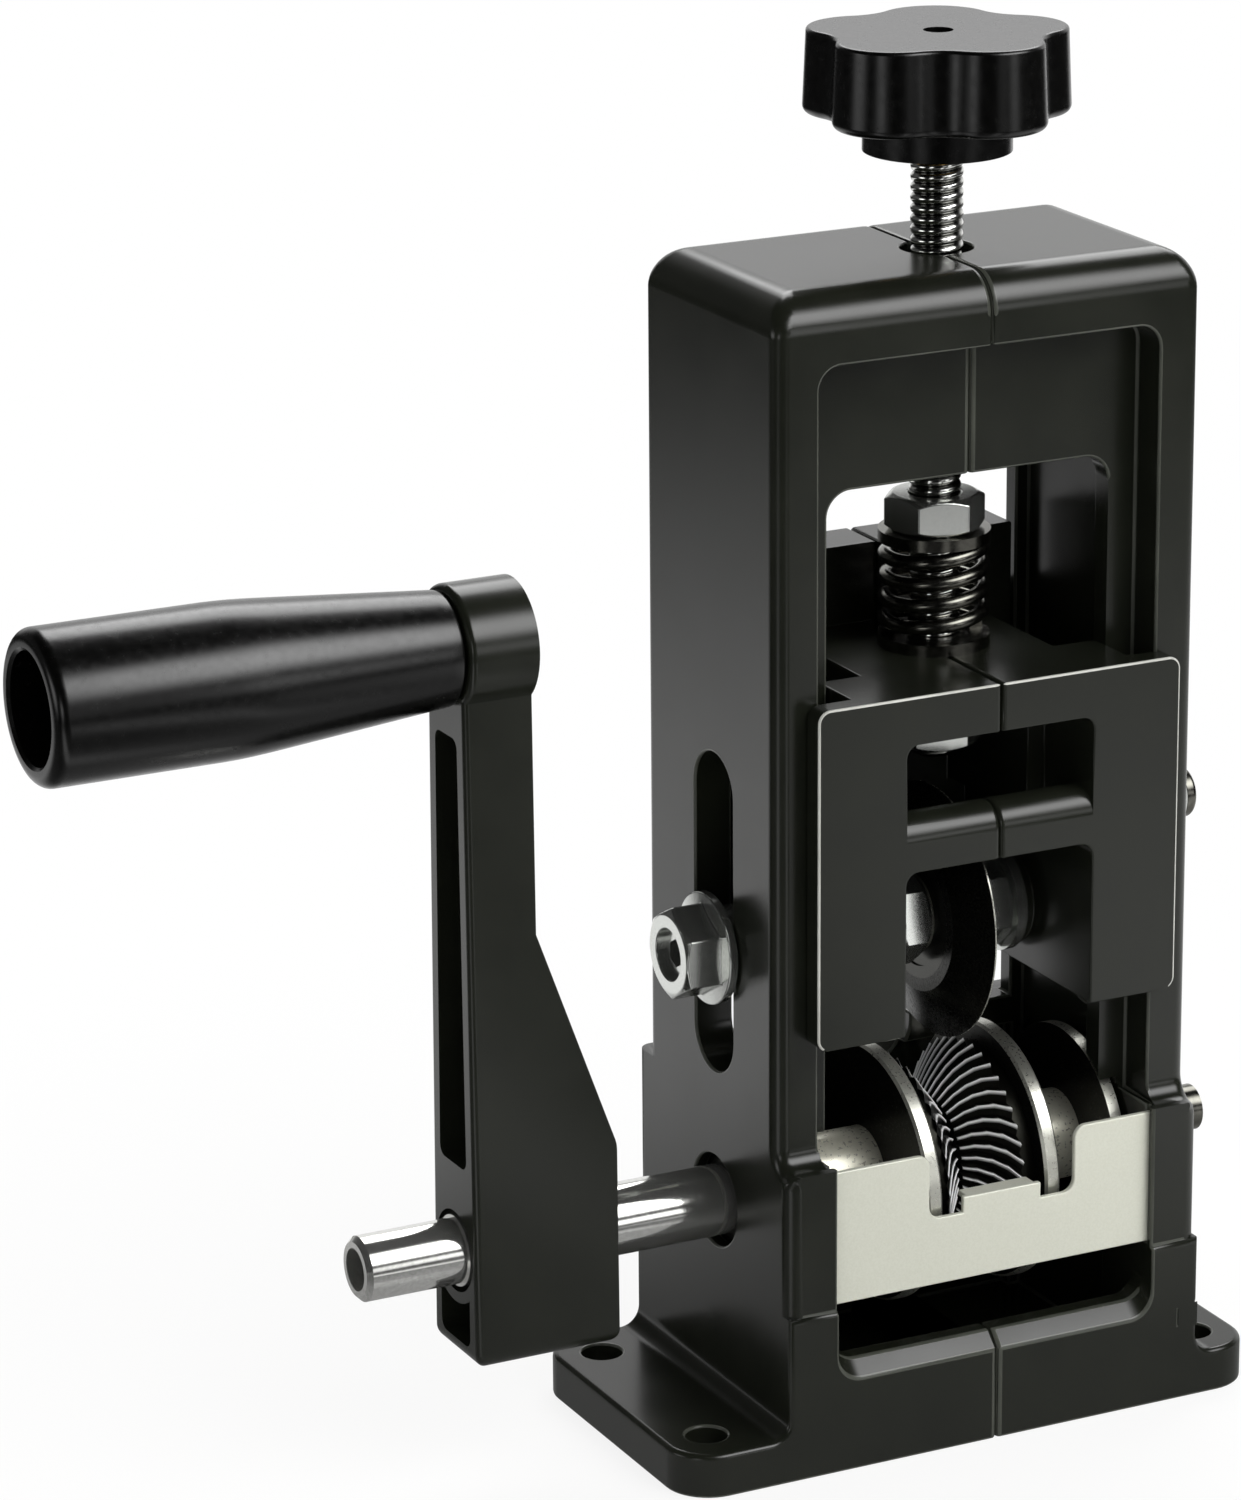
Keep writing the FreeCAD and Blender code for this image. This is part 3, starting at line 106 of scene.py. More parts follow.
def linear(colour):
    """An sRGB hex colour as linear red, green, blue and alpha."""
    parts = [int(colour[i : i + 2], 16) / 255 for i in (1, 3, 5)]
    return [p / 12.92 if p <= 0.04045 else ((p + 0.055) / 1.055) ** 2.4 for p in parts] + [1.0]


def add(tree, kind, inputs=None, **settings):
    """One node with its settings. An input is given a value, or the output that feeds it."""
    node = tree.nodes.new(kind)
    for name, value in settings.items():
        setattr(node, name, value)
    for name, value in (inputs or {}).items():
        if isinstance(value, bpy.types.NodeSocket):
            tree.links.new(value, node.inputs[name])
        else:
            node.inputs[name].default_value = value
    return node


def per_mm(size):
    """Texture scale at which one cell of a pattern is this many millimetres."""
    return 1.0 / (size * mm)


def noise(tree, place, size, detail):
    """Soft noise with cells of this size in millimetres."""
    inputs = {"Vector": place, "Scale": per_mm(size), "Detail": detail}
    return add(tree, "ShaderNodeTexNoise", inputs).outputs["Fac"]


def map_range(tree, value, span, ends, **settings):
    """A value that goes from one end to the other over this span of the value given."""
    inputs = {
        "Value": value,
        "From Min": span[0],
        "From Max": span[1],
        "To Min": ends[0],
        "To Max": ends[1],
    }
    return add(tree, "ShaderNodeMapRange", inputs, **settings).outputs["Result"]


def compute(tree, operation, *values, **settings):
    """One arithmetic step with one or two values."""
    inputs = dict(enumerate(values))
    return add(tree, "ShaderNodeMath", inputs, operation=operation, **settings).outputs[0]


def colour_ramp(tree, value, stops):
    """A colour ramp through stops of (position, colour)."""
    node = add(tree, "ShaderNodeValToRGB", {"Fac": value})
    marks = node.color_ramp.elements
    for k, (where, colour) in enumerate(stops):
        mark = marks[k] if k < 2 else marks.new(where)
        mark.position = where
        mark.color = colour
    return node.outputs["Color"]


def mix_colours(tree, share, first, second):
    """The first colour at share 0, and the second at share 1."""
    inputs = {0: share, 6: first, 7: second}
    return add(tree, "ShaderNodeMix", inputs, data_type="RGBA").outputs[2]


def bump(tree, height, strength, depth):
    """A surface raised by a pattern, by this depth in millimetres."""
    inputs = {"Height": height, "Strength": strength, "Distance": depth * mm}
    return add(tree, "ShaderNodeBump", inputs).outputs["Normal"]


def off_axis(tree, place, axis, across):
    """Distance of a place from an axis. across is 1 in each direction across it, and 0 along it."""
    out = add(tree, "ShaderNodeVectorMath", {0: place, 1: axis}, operation="SUBTRACT").outputs[0]
    out = add(tree, "ShaderNodeVectorMath", {0: out, 1: across}, operation="MULTIPLY").outputs[0]
    return add(tree, "ShaderNodeVectorMath", {0: out}, operation="LENGTH").outputs["Value"]


def mix_shaders(tree, share, first, second):
    """The first shader at share 0, and the second at share 1."""
    return add(tree, "ShaderNodeMixShader", {0: share, 1: first, 2: second}).outputs[0]


def gloss_rays(tree, ray):
    """1 for a ray from a glossy or a clear surface, and 0 for any other."""
    kinds = [ray.outputs["Is Glossy Ray"], ray.outputs["Is Transmission Ray"]]
    return compute(tree, "ADD", *kinds, use_clamp=True)


# ---------------------------------------------------------------- finishes

# Most of a noise pattern lies in this span.
noise_span = (0.3, 0.7)
# A wave pattern of scale 1 turns by this many radians in a metre.
wave_rate = 20
# A ground rim varies from its own colour down to this share of it.
ground_shade = 0.93


def new_finish(name):
    """An empty material, its node tree, and the place on the object in metres."""
    material = bpy.data.materials.new(name)
    material.use_nodes = True
    material.node_tree.nodes.clear()
    tree = material.node_tree
    return material, tree, add(tree, "ShaderNodeTexCoord").outputs["Object"]


def finished(material, inputs):
    """The material with the shader that takes these inputs."""
    tree = material.node_tree
    shader = add(tree, "ShaderNodeBsdfPrincipled", inputs)
    add(tree, "ShaderNodeOutputMaterial", {"Surface": shader.outputs[0]})
    return material


def sprayed_black_paint(name, dark, light):
    """Semi-gloss black paint sprayed on a die casting.

    It gives a warm near-black with a soft sheen and faint orange peel.
    """
    material, tree, place = new_finish(name)
    peel = noise(tree, place, 0.9, 2.0)
    cloud = noise(tree, place, 14.0, 3.0)
    inputs = {
        "Base Color": colour_ramp(tree, cloud, [(0.35, linear(dark)), (0.7, linear(light))]),
        "Roughness": map_range(tree, cloud, noise_span, (0.2, 0.25)),
        "Normal": bump(tree, peel, 0.12, 0.04),
        "IOR": 1.5,
    }
    return finished(material, inputs)


def moulded_gloss_black():
    """Phenolic moulded in a polished tool.

    It gives a deep black with sharp reflections that waver a little over the thick walls.
    """
    material, tree, place = new_finish("moulded_gloss_black")
    sink = noise(tree, place, 9.0, 1.0)
    haze = noise(tree, place, 1.6, 4.0)
    inputs = {
        "Roughness": map_range(tree, haze, (0.35, 0.7), (0.22, 0.28)),
        "Base Color": colour_ramp(tree, haze, [(0.0, linear("#020202")), (1.0, linear("#050504"))]),
        "Normal": bump(tree, sink, 0.05, 0.1),
        "IOR": 1.55,
    }
    return finished(material, inputs)


def metal(name, dark, light, grain, roughness, marks=None, depth=0.0, metallic=1.0):
    """A metal whose colour and gloss vary over a grain in millimetres.

    marks is the length over which turned or ground lines turn by one radian, so that they lie about
    six times as far apart, and depth is their height, both in millimetres.
    """
    material, tree, place = new_finish(name)
    speck = noise(tree, place, grain, 5.0)
    inputs = {
        "Base Color": colour_ramp(tree, speck, [(0.35, linear(dark)), (0.65, linear(light))]),
        "Roughness": map_range(tree, speck, noise_span, (roughness * 0.8, roughness * 1.3)),
        "Metallic": metallic,
    }
    if marks:
        lines = add(
            tree,
            "ShaderNodeTexWave",
            {
                "Vector": place,
                "Scale": per_mm(marks) / wave_rate,
                "Distortion": 0.4,
                "Detail": 2.0,
            },
            bands_direction="X",
        )
        inputs["Normal"] = bump(tree, lines.outputs["Fac"], 0.3, depth)
    return finished(material, inputs)


def turned_disc(name, face, rim, roughness):
    """A disc turned on a lathe.

    Its flat faces are painted dark as a painted reflection of dark surroundings, and its rim and
    bevels are ground bright.
    """
    material, tree, place = new_finish(name)
    normal = add(tree, "ShaderNodeTexCoord").outputs["Normal"]
    facing = add(tree, "ShaderNodeSeparateXYZ", {"Vector": normal})
    flat = compute(tree, "ABSOLUTE", facing.outputs["X"])
    speck = noise(tree, place, 0.6, 4.0)
    shaded = [ground_shade * c for c in linear(rim)[:3]] + [1.0]
    steel = colour_ramp(tree, speck, [(noise_span[0], shaded), (noise_span[1], linear(rim))])
    painted_dark_faces = map_range(tree, flat, (0.8, 0.86), (0.0, 1.0))
    inputs = {
        "Base Color": mix_colours(tree, painted_dark_faces, steel, linear(face)),
        "Roughness": map_range(tree, speck, noise_span, (roughness * 0.85, roughness * 1.2)),
        "Metallic": 0.85,
    }
    return finished(material, inputs)


def thread_steel_painted_root_shade():
    """Rolled thread, bright on its crests, with painted shade darkening its roots."""
    # Depths below the crests: the painted root shade reaches up to the first, and steel is bright
    # above the second.
    root_shade_depth, bright_depth = 0.6 * mm, 0.1 * mm
    material, tree, place = new_finish("thread_steel_painted_root_shade")
    low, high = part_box("adjusting_screw")
    axis = ((low.x + high.x) / 2, (low.y + high.y) / 2, 0.0)
    out = off_axis(tree, place, axis, (1.0, 1.0, 0.0))
    top = (high.x - low.x) / 2
    wear_and_painted_light = map_range(tree, out, (top - root_shade_depth, top - bright_depth), (0.0, 1.0))
    inputs = {
        "Base Color": mix_colours(tree, wear_and_painted_light, linear("#3c3c38"), linear("#f2f2ee")),
        "Metallic": 1.0,
        "Roughness": 0.12,
    }
    return finished(material, inputs)


# The knurled cones: plane of the groove, middle of the left cone, how far the teeth reach from the
# groove with the crest radius there, depth of the teeth, and the share of it that is worn and
# painted white as a highlight.
groove_x = (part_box("left_knurled_roller")[1].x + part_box("right_knurled_roller")[0].x) / 2
roller_middle = (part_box("left_knurled_roller")[0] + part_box("left_knurled_roller")[1]) / 2
knurl_reach = (0.5 * mm, 8.3 * mm)
knurl_crest = (12.8 * mm, 23.0 * mm)
knurl_depth = 1.5 * mm
knurl_wear_and_highlight = (0.12 * knurl_depth, 0.4 * knurl_depth)


def knurled_black_steel():
    """Blackened roller: the crests of its teeth are worn and painted white as a highlight, and the
    flanks stay black.
    """
    material, tree, place = new_finish("knurled_black_steel")
    along = add(tree, "ShaderNodeSeparateXYZ", {"Vector": place})
    side = compute(tree, "SUBTRACT", along.outputs["X"], groove_x)
    side = compute(tree, "ABSOLUTE", side)
    crest = map_range(tree, side, knurl_reach, knurl_crest)
    axis = (0.0, roller_middle.y, roller_middle.z)
    out = off_axis(tree, place, axis, (0.0, 1.0, 1.0))
    below = compute(tree, "SUBTRACT", crest, out)
    wear_and_painted_light = map_range(tree, below, knurl_wear_and_highlight, (1.0, 0.0))
    inputs = {
        "Base Color": mix_colours(tree, wear_and_painted_light, linear("#1d1d19"), linear("#ffffff")),
        "Metallic": map_range(tree, wear_and_painted_light, (0.0, 1.0), (0.9, 0.0)),
        "Roughness": 0.34,
    }
    return finished(material, inputs)


finishes = {
    "black_casting": sprayed_black_paint("sprayed_black_paint", "#181a14", "#1c1e17"),
    "gloss_black_plastic": moulded_gloss_black(),
    "knurled_steel": knurled_black_steel(),
    # Hot-blackened steel with oil on it: almost black, with sharp white highlights.
    "black_oxide_steel": metal("oil_blackened_steel", "#66655f", "#77766f", 1.2, 0.19),
    # Discs turned on a lathe, their faces painted dark as a painted reflection.
    "turned_steel": turned_disc("turned_steel_painted_dark_faces", "#2a2a26", "#d3d3c9", 0.3),
    # Ground shaft steel: bright, with lines round the shaft that are drawn coarser than real.
    "bright_steel": metal("ground_shaft_steel", "#e2e2de", "#efefec", 0.7, 0.1, 0.4, 0.003, 0.92),
    # Bright zinc plating: pale, slightly grained and cloudy.
    "zinc_plated_steel": metal(
        "bright_zinc_plating", "#cfd1cd", "#dfe1dd", 0.35, 0.15, metallic=0.95
    ),
    # Tool steel: faces painted black as a painted reflection, and a ground bevel that runs to the
    # cutting edge.
    "ground_blade_steel": turned_disc("ground_tool_steel", "#242421", "#b4b4ab", 0.26),
    # Stainless sheet with a satin mill surface: even, warm silver.
    "satin_sheet_steel": metal(
        "satin_stainless_sheet", "#d8d9cb", "#dedfd2", 0.4, 0.42, metallic=0.3
    ),
    # Hard bearing rings, ground fine, their faces painted dark as a painted reflection.
    "bearing_steel": turned_disc("ground_bearing_steel", "#3a3a36", "#cfcfc5", 0.2),
    # Turned brass, slightly dull.
    "brass_insert": metal("turned_brass", "#a98644", "#c9a45c", 0.9, 0.25, 0.4, 0.01),
}

for node in nodes.values():
    for place in node.material_slots:
        place.material = finishes[place.material.name]

# Turned steel left bright on the two sleeves beside the roller: a warm, soft cream silver that is a
# painted reflection of the guide plate in front of them.
sleeve_steel_painted_plate_reflection = metal("turned_sleeve_painted_plate_reflection", "#dcdac9", "#e4e2d2", 0.8, 0.3, metallic=0.55)

# Pieces that look different from the others of their slot.
own_finishes = {
    "hub_sleeve_left": sleeve_steel_painted_plate_reflection,
    "hub_sleeve_right": sleeve_steel_painted_plate_reflection,
    "lower_spring_washer": finishes["black_oxide_steel"],
    "upper_spring_washer": finishes["black_oxide_steel"],
    "shaft_end_screw": finishes["black_oxide_steel"],
    "shaft_end_collar": finishes["black_oxide_steel"],
    "shaft_end_washer": finishes["black_oxide_steel"],
}
for node, finish in own_finishes.items():
    nodes[node].material_slots[0].material = finish

# Paint on edges, lightened as a painted highlight: a little grey on the frame, and pale on the
# carriage's rim, which is also rubbed where it is handled.
edge_highlight_paint = sprayed_black_paint("black_paint_painted_edge_highlight", "#3e403a", "#4a4c45")
rubbed_paint_and_highlight = sprayed_black_paint("black_paint_rubbed_and_painted_highlight", "#b4b4ae", "#d0d0ca")

# ---------------------------------------------------------------- eased edges

# Before its edges are rounded, a copy's points closer than this are joined, and so are its faces
# that turn less than this.
weld_distance = 0.005 * mm
flat_angle = math.radians(0.5)
# Flats in each rounded edge.
edge_steps = 3
# A triangle that lies further from the old surface than this share of the width is a fault. The
# edges this near to it then stay sharp, and the copy is made again, up to this many times in all.
stray_share = 0.45
shy_reach = 3 * mm
attempts = 4


def triangle_spots(a, b, c):
    """The corners of a triangle, its middle, and the middles of two sides."""
    return [a, b, c, (a + b + c) / 3, (a + b) / 2, (b + c) / 2]


def eased_copy(name, node, width, body, slot, edge_highlight_finish=None, angle=35.0, wear_and_painted_light=None):
    """A node with its sharp edges broken round, by this width in millimetres.

    An edge counts as sharp from this angle in degrees. One that can't take the round stays sharp.
    The rounds get the edge finish, a painted highlight, and where wear_and_painted_light is given,
    only those places it is true for.
    """
    shy = []
    for attempt in range(attempts):
        form = bmesh.new()
        form.from_mesh(nodes[node].data)
        bmesh.ops.remove_doubles(form, verts=form.verts, dist=weld_distance)
        bmesh.ops.dissolve_limit(form, angle_limit=flat_angle, verts=form.verts, edges=form.edges)
        old_surface = BVHTree.FromBMesh(form)
        sharp = []
        for edge in form.edges:
            if len(edge.link_faces) != 2 or edge.calc_face_angle(0.0) < math.radians(angle):
                continue
            halfway = (edge.verts[0].co + edge.verts[1].co) / 2
            if all((halfway - place).length > shy_reach for place in shy):
                sharp.append(edge)
        bmesh.ops.bevel(
            form,
            geom=sharp,
            offset=width * mm,
            offset_type="OFFSET",
            segments=edge_steps,
            profile=0.5,
            affect="EDGES",
            clamp_overlap=False,
            material=1 if edge_highlight_finish else -1,
        )
        stray = []
        for corners in form.calc_loop_triangles():
            for spot in triangle_spots(*(c.vert.co for c in corners)):
                distance = old_surface.find_nearest(spot)[3]
                if distance > stray_share * width * mm:
                    stray.append(spot.copy())
        if not stray or attempt == attempts - 1:
            break
        shy.extend(stray)
        form.free()
    mesh = bpy.data.meshes.new(name)
    form.to_mesh(mesh)
    form.free()
    mesh.materials.append(finishes[slot])
    if edge_highlight_finish:
        mesh.materials.append(edge_highlight_finish)
    for polygon in mesh.polygons:
        polygon.use_smooth = True
        if wear_and_painted_light and not wear_and_painted_light(polygon.center):
            polygon.material_index = 0
    mesh.set_sharp_from_angle(angle=smooth_angle)
    piece = new_piece(name, mesh, body)
    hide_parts(node)
    weigh = piece.modifiers.new("even_light", "WEIGHTED_NORMAL")
    weigh.keep_sharp = True


# The rim of the carriage's front plate: its inner limits at the sides and the top, and a plane just
# in front of the plate's back, so that only the edges which a hand reaches count.
rim_width = 1.2 * mm
rim_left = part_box("left_carriage_half")[0].x + rim_width
rim_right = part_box("right_carriage_half")[1].x - rim_width
rim_top = 148.5 * mm
rim_back = -27 * mm


def at_rim(spot):
    """True on the rim of the carriage's front plate, where fingers rub it and a highlight is
    painted.
    """
    return spot.y < rim_back and (spot.x < rim_left or spot.x > rim_right or spot.z > rim_top)


# Widths of the rounds, in millimetres.
frame_round = 0.5
carriage_round = 0.4
plate_round = 0.3
nut_round = 0.3

eased_copy("left_casting", "left_frame_half", frame_round, "frame", "black_casting", edge_highlight_paint)
eased_copy("right_casting", "right_frame_half", frame_round, "frame", "black_casting", edge_highlight_paint)
for name, node in (
    ("left_carriage_casting", "left_carriage_half"),
    ("right_carriage_casting", "right_carriage_half"),
):
    eased_copy(name, node, carriage_round, "carriage", "black_casting", rubbed_paint_and_highlight, wear_and_painted_light=at_rim)
eased_copy("folded_plate", "guide_plate", plate_round, "frame", "satin_sheet_steel")
eased_copy("chamfered_nut", "upper_nut", nut_round, "screw", "zinc_plated_steel", angle=20.0)
eased_copy(
    "chamfered_flange_nut",
    "axle_flange_nut",
    nut_round,
    "carriage",
    "zinc_plated_steel",
    angle=25.0,
)

# ---------------------------------------------------------------- pocket walls


def pocket_wall(name, wall_y):
    """A thin wall that closes the pocket of a lower frame screw towards the casting's face."""
    points = [(x * mm, y * mm, z * mm) for x in pocket_x for y in wall_y for z in pocket_z]
    faces = [(0, 1, 3, 2), (4, 6, 7, 5), (0, 4, 5, 1), (2, 3, 7, 6), (0, 2, 6, 4), (1, 5, 7, 3)]
    mesh = new_mesh(name, points, faces, finishes["black_casting"])
    new_piece(name, mesh, "frame")


# In millimetres: what a wall covers of the right foot, and where its two faces lie.
pocket_x = (44.6, 48.9)
pocket_z = (14.8, 19.7)
wall_inner, wall_outer = 32.31, 32.36
pocket_wall("front_pocket_wall", (-wall_outer, -wall_inner))
pocket_wall("back_pocket_wall", (wall_inner, wall_outer))

# ---------------------------------------------------------------- threads


def thread_height(turn):
    """Height of a rolled thread over one turn: 0 in its narrow root, and 1 on its broad crest."""
    return math.sin(math.pi * (turn % 1.0)) ** 0.5


thread_pitch = 2.0 * mm
thread_depth = 0.85 * mm
# Rows of points in each turn of the thread, and points round it.
thread_steps = 18
thread_sides = 48

low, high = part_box("adjusting_screw")
rod_middle = (low + high) / 2
rod_radius = (high.x - low.x) / 2
# The chamfer at both ends cuts the thread's crests down.
rod_chamfer = 1.2 * mm
rows = round((high.z - low.z) / thread_pitch * thread_steps)
points = []
for i in range(rows + 1):
    z = low.z + (high.z - low.z) * i / rows
    end = min(z - low.z, high.z - z)
    most = rod_radius - max(0.0, rod_chamfer - end)
    for j in range(thread_sides):
        angle = 2 * math.pi * j / thread_sides
        height = thread_height((z - low.z) / thread_pitch - j / thread_sides)
        r = min(rod_radius - thread_depth * (1 - height), most)
        points.append((rod_middle.x + r * math.cos(angle), rod_middle.y + r * math.sin(angle), z))
faces = []
for i in range(rows):
    this, above = i * thread_sides, (i + 1) * thread_sides
    for j in range(thread_sides):
        k = (j + 1) % thread_sides
        faces.append((this + j, this + k, above + k, above + j))
faces.append(tuple(reversed(range(thread_sides))))
faces.append(tuple(range(len(points) - thread_sides, len(points))))
mesh = new_mesh("threaded_spindle", points, faces, thread_steel_painted_root_shade())
for polygon in mesh.polygons:
    polygon.use_smooth = len(polygon.vertices) == 4
spindle = new_piece("threaded_spindle", mesh, "screw")
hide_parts("adjusting_screw")

# ---------------------------------------------------------------- handle

# The grip: a straight barrel that runs smoothly into a taper, with a deep bore for the bolt's head.
low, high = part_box("handle_grip")
grip_middle = (low + high) / 2
grip_radius = (high.z - low.z) / 2
bore_radius = 10.5 * mm
bolt_radius = 4.2 * mm
bore_depth = 56.0 * mm
bore_end = low.x + bore_depth
bore_chamfer = 0.6 * mm
# The round at the open end.
rim = 2.5 * mm
rim_steps = 8
# The barrel's wall is one straight line up to its end. The taper sets in smoothly round its start,
# over about the blend to each side.
barrel_end = -142.0 * mm
taper_start = -138.0 * mm
taper_slope = 0.09
taper_blend = 2.2 * mm
taper_steps = 24
# The round where the taper meets the arm.
neck_round = 1.0 * mm
neck_steps = 4
grip_sides = 96

outline = [
    (bore_end, bolt_radius),
    (bore_end, bore_radius),
    (low.x + bore_chamfer, bore_radius),
    (low.x, bore_radius + bore_chamfer),
]
for i in range(rim_steps + 1):
    turn = math.pi / 2 * i / rim_steps
    outline.append((low.x + rim * (1 - math.cos(turn)), grip_radius - rim * (1 - math.sin(turn))))
for i in range(taper_steps + 1):
    x = barrel_end + (high.x - neck_round - barrel_end) * i / taper_steps
    drop = taper_slope * taper_blend * math.log1p(math.exp((x - taper_start) / taper_blend))
    outline.append((x, grip_radius - drop))
neck = outline[-1][1]
for i in range(1, neck_steps + 1):
    turn = math.pi / 2 * i / neck_steps
    x = high.x - neck_round + neck_round * math.sin(turn)
    outline.append((x, neck - neck_round + neck_round * math.cos(turn)))
outline.append((high.x, bolt_radius))

points = []
for x, r in outline:
    for j in range(grip_sides):
        angle = 2 * math.pi * j / grip_sides
        points.append((x, grip_middle.y + r * math.cos(angle), grip_middle.z + r * math.sin(angle)))
faces = []
for i in range(len(outline)):
    this, after = i * grip_sides, (i + 1) % len(outline) * grip_sides
    for j in range(grip_sides):
        k = (j + 1) % grip_sides
        faces.append((this + j, this + k, after + k, after + j))
mesh = new_mesh("moulded_grip", points, faces, finishes["gloss_black_plastic"])
for polygon in mesh.polygons:
    polygon.use_smooth = True
mesh.set_sharp_from_angle(angle=smooth_angle)
grip = new_piece("moulded_grip", mesh, "handle")
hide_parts("handle_grip")

# ---------------------------------------------------------------- floor

# Brightness of the floor round the tool, shown only in gloss, from the left through the front, the
# right and the back: share of a turn, tone. Dark bands painted between the lit parts stand in for
# dark cards, so that the rounded corners show crisp dark and bright lines.
painted_floor_bands = [
    (0.0, 0.08),
    (0.055, 0.08),
    (0.07, 1.0),
    (0.1, 1.0),
    (0.115, 0.08),
    (0.218, 0.1),
    (0.23, 0.9),
    (0.248, 1.0),
    (0.26, 0.12),
    (0.285, 0.1),
    (0.305, 0.5),
    (0.33, 0.8),
    (0.5, 0.9),
    (0.86, 1.0),
    (0.93, 0.1),
]
# A lit part far behind the tool, laid out in the same way.
floor_rear = [(0.56, 0.0), (0.6, 1.0), (0.7, 1.0), (0.74, 0.0)]

# Distances from the middle of the floor in metres, over which a tone of it changes: the shadow that
# is seen fades, the floor under the tool brightens, the pool of light dims, the rear part sets in.
shadow_span, shadow_share = (0.08, 0.3), 0.14
under_span, under_tone = (0.08, 0.22), 0.3
pool_span, pool_tone = (0.42, 0.92), 0.02
rear_span = (0.6, 0.9)


def greys(stops):
    """Stops of (position, tone) as stops of (position, colour)."""
    return [(where, (tone, tone, tone, 1.0)) for where, tone in stops]


def glow(tree, strength):
    """White light of this strength from a surface."""
    inputs = {"Color": linear("#ffffff"), "Strength": strength}
    return add(tree, "ShaderNodeEmission", inputs).outputs[0]


def pale_floor():
    """Matt white floor, seen white with a soft shadow. Gloss shows its painted pool of light and
    dark bands.
    """
    material, tree, place = new_finish("pale_floor")
    ray = add(tree, "ShaderNodeLightPath")
    away = add(tree, "ShaderNodeVectorMath", {0: place}, operation="LENGTH").outputs["Value"]
    radial = add(tree, "ShaderNodeTexGradient", {"Vector": place}, gradient_type="RADIAL")
    turn = radial.outputs["Fac"]
    matt = add(tree, "ShaderNodeBsdfDiffuse", {"Color": linear("#f4f4f2")}).outputs[0]
    white = glow(tree, 1.0)
    shadow = map_range(tree, away, shadow_span, (shadow_share, 0.0))
    seen = mix_shaders(tree, shadow, white, matt)
    pool = map_range(tree, away, pool_span, (1.0, pool_tone))
    lit = compute(tree, "MULTIPLY", pool, colour_ramp(tree, turn, greys(painted_floor_bands)))
    under = map_range(tree, away, under_span, (0.0, 1.0))
    inputs = {0: under, 2: under_tone, 3: lit}
    lit = add(tree, "ShaderNodeMix", inputs, data_type="FLOAT").outputs[0]
    far = map_range(tree, away, rear_span, (0.0, 1.0))
    rear = compute(tree, "MULTIPLY", far, colour_ramp(tree, turn, greys(floor_rear)))
    lit = compute(tree, "MAXIMUM", lit, rear)
    surface = mix_shaders(tree, gloss_rays(tree, ray), matt, glow(tree, lit))
    surface = mix_shaders(tree, ray.outputs["Is Camera Ray"], surface, seen)
    add(tree, "ShaderNodeOutputMaterial", {"Surface": surface})
    return material


edge = 6.0
floor_corners = [(-edge, -edge, 0), (edge, -edge, 0), (edge, edge, 0), (-edge, edge, 0)]
# Just under the base, so that the two don't share a plane.
floor_z = -0.05 * mm
floor = new_object("floor", new_mesh("floor", floor_corners, [(0, 1, 2, 3)], pale_floor()))
floor.location.z = floor_z

# ---------------------------------------------------------------- world

# The room that gloss shows is bright low down, at the back and to the right. For each direction:
# the span over which the brightness changes, and its two ends.
room_by_height = (0.36, 0.6), (1.0, 0.03)
room_to_back = (-0.1, 0.5), (0.05, 1.0)
room_to_right = (-0.3, 0.15), (0.05, 0.9)
# Strength of the even light that matt surfaces take from the room.
room_light = 0.4


def room(tree, strength):
    """A white background of this strength."""
    inputs = {"Color": linear("#ffffff"), "Strength": strength}
    return add(tree, "ShaderNodeBackground", inputs).outputs[0]


world = bpy.data.worlds.new("studio")
bpy.context.scene.world = world
world.use_nodes = True
tree = world.node_tree
tree.nodes.clear()
ray = add(tree, "ShaderNodeLightPath")
way = add(tree, "ShaderNodeTexCoord").outputs["Generated"]
parts = add(tree, "ShaderNodeSeparateXYZ", {"Vector": way})
low_band = map_range(tree, parts.outputs["Z"], *room_by_height, interpolation_type="SMOOTHSTEP")
behind = map_range(tree, parts.outputs["Y"], *room_to_back, interpolation_type="SMOOTHSTEP")
rightward = map_range(tree, parts.outputs["X"], *room_to_right, interpolation_type="SMOOTHSTEP")
level = compute(tree, "MULTIPLY", low_band, behind)
level = compute(tree, "MULTIPLY", level, rightward)
shown = mix_shaders(tree, gloss_rays(tree, ray), room(tree, room_light), room(tree, level))
shown = mix_shaders(tree, ray.outputs["Is Camera Ray"], shown, room(tree, 1.0))
add(tree, "ShaderNodeOutputWorld", {"Surface": shown})

# ---------------------------------------------------------------- lamps


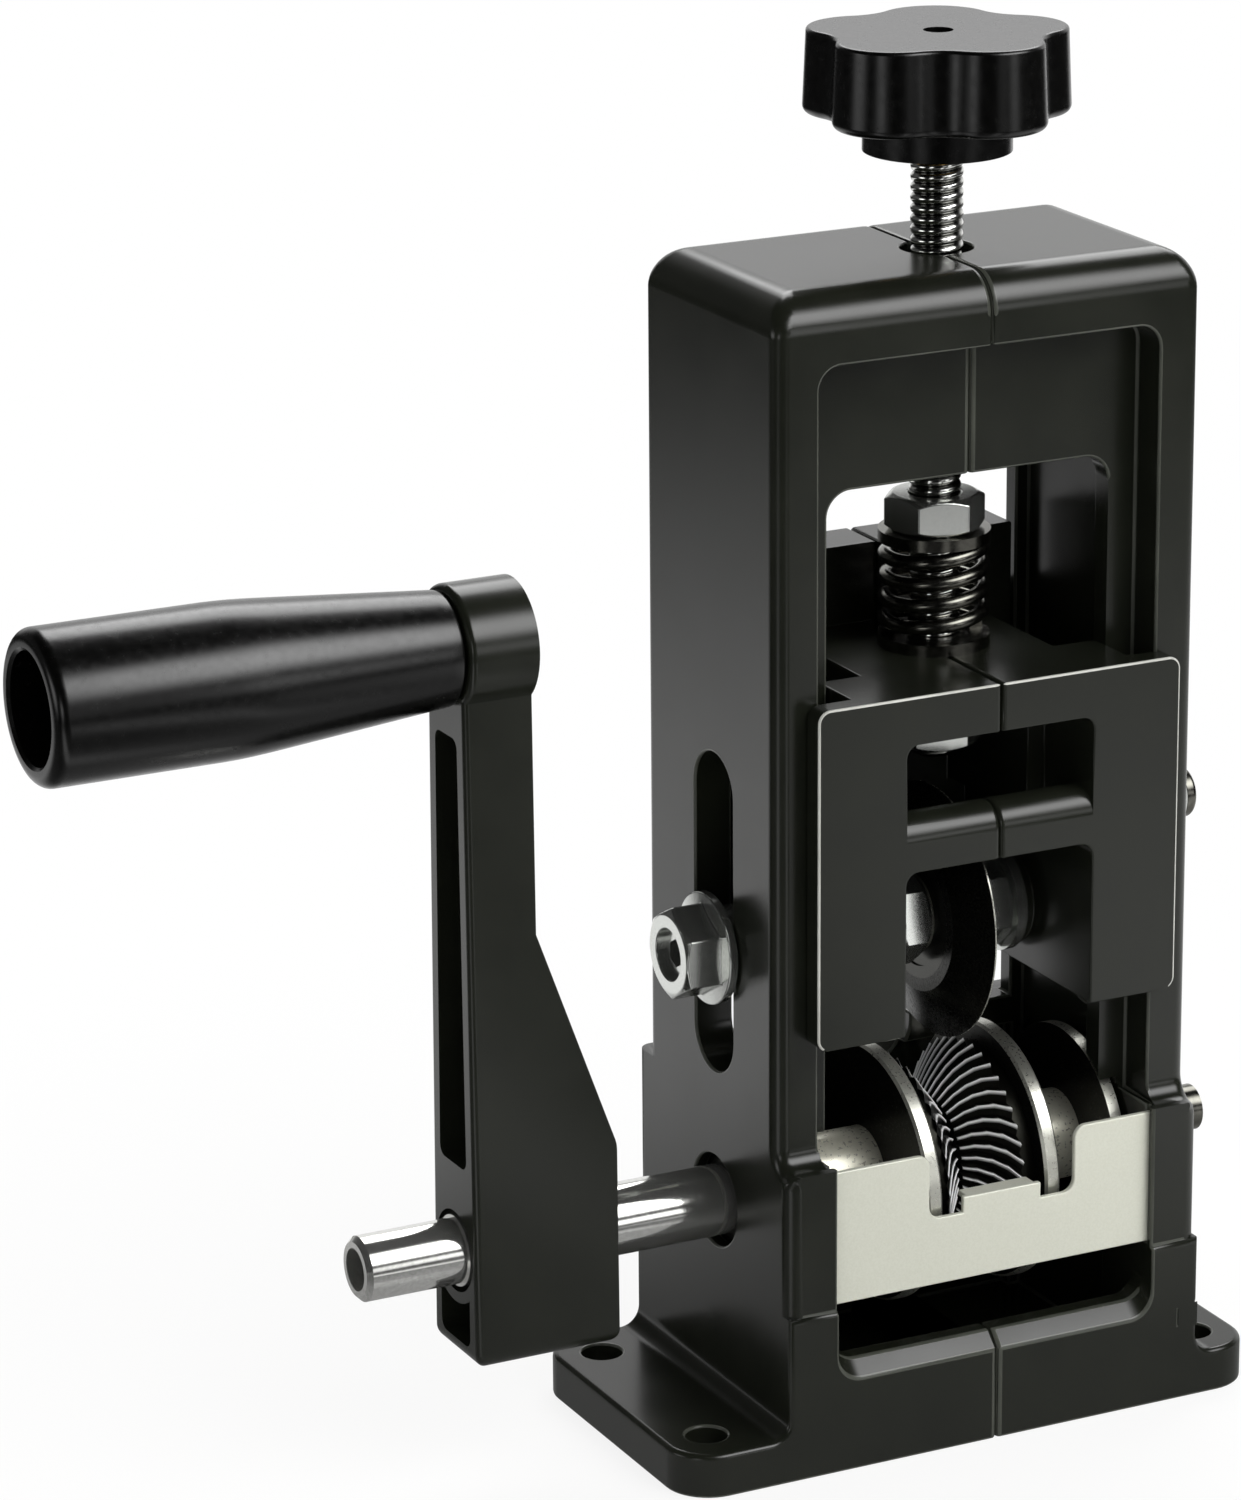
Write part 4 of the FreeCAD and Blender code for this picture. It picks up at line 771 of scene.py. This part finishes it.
def soft_box(name, stand, aim, width, depth, watts, fade):
    """A soft box whose cloth is brightest in the middle.

    fade is the share of each half over which it dims.
    """
    lamp = bpy.data.lights.new(name, "AREA")
    lamp.shape = "RECTANGLE"
    lamp.size = width
    lamp.size_y = depth
    lamp.energy = watts
    lamp.use_nodes = True
    tree = lamp.node_tree
    tree.nodes.clear()
    across = add(tree, "ShaderNodeNewGeometry").outputs["Parametric"]
    sides = add(tree, "ShaderNodeSeparateXYZ", {"Vector": across})
    shares = []
    for side in ("X", "Y"):
        off = compute(tree, "SUBTRACT", sides.outputs[side], 0.5)
        off = compute(tree, "ABSOLUTE", off)
        span = (0.5 * (1 - fade), 0.5)
        shares.append(map_range(tree, off, span, (1.0, 0.0), interpolation_type="SMOOTHSTEP"))
    cloth = compute(tree, "MULTIPLY", *shares)
    light = add(tree, "ShaderNodeEmission", {"Strength": cloth})
    add(tree, "ShaderNodeOutputLight", {"Surface": light.outputs[0]})
    box = new_object(name, lamp)
    box.location = stand
    box.rotation_euler = (Vector(aim) - Vector(stand)).to_track_quat("-Z", "Y").to_euler()


def around(azimuth, height, distance):
    """A place in the studio. The azimuth is in degrees from the back towards the right side."""
    turn = math.radians(azimuth)
    return (distance * math.sin(turn), distance * math.cos(turn), height)


# The two big boxes aim at the upper part of the column. The strips stand low and shine level.
upper_column = (0.0, 0.0, 0.2)
strip_z = 0.25
level_aim = (0.0, 0.0, strip_z)
soft_box("front_box", around(150, 0.8, 0.8), upper_column, 1.4, 0.9, 24.0, 0.8)
soft_box("back_box", around(33, 0.95, 0.8), upper_column, 1.1, 0.7, 11.0, 0.4)
soft_box("left_strip", around(-82, strip_z, 1.2), level_aim, 0.8, 0.5, 2.4, 0.8)
soft_box("left_front_strip", around(-127, strip_z, 1.2), level_aim, 0.5, 0.5, 1.4, 0.8)
soft_box("front_strip", around(178, strip_z, 1.3), level_aim, 0.5, 0.5, 0.3, 0.6)
soft_box("right_front_strip", around(155, strip_z, 1.4), level_aim, 0.6, 0.5, 1.8, 0.8)
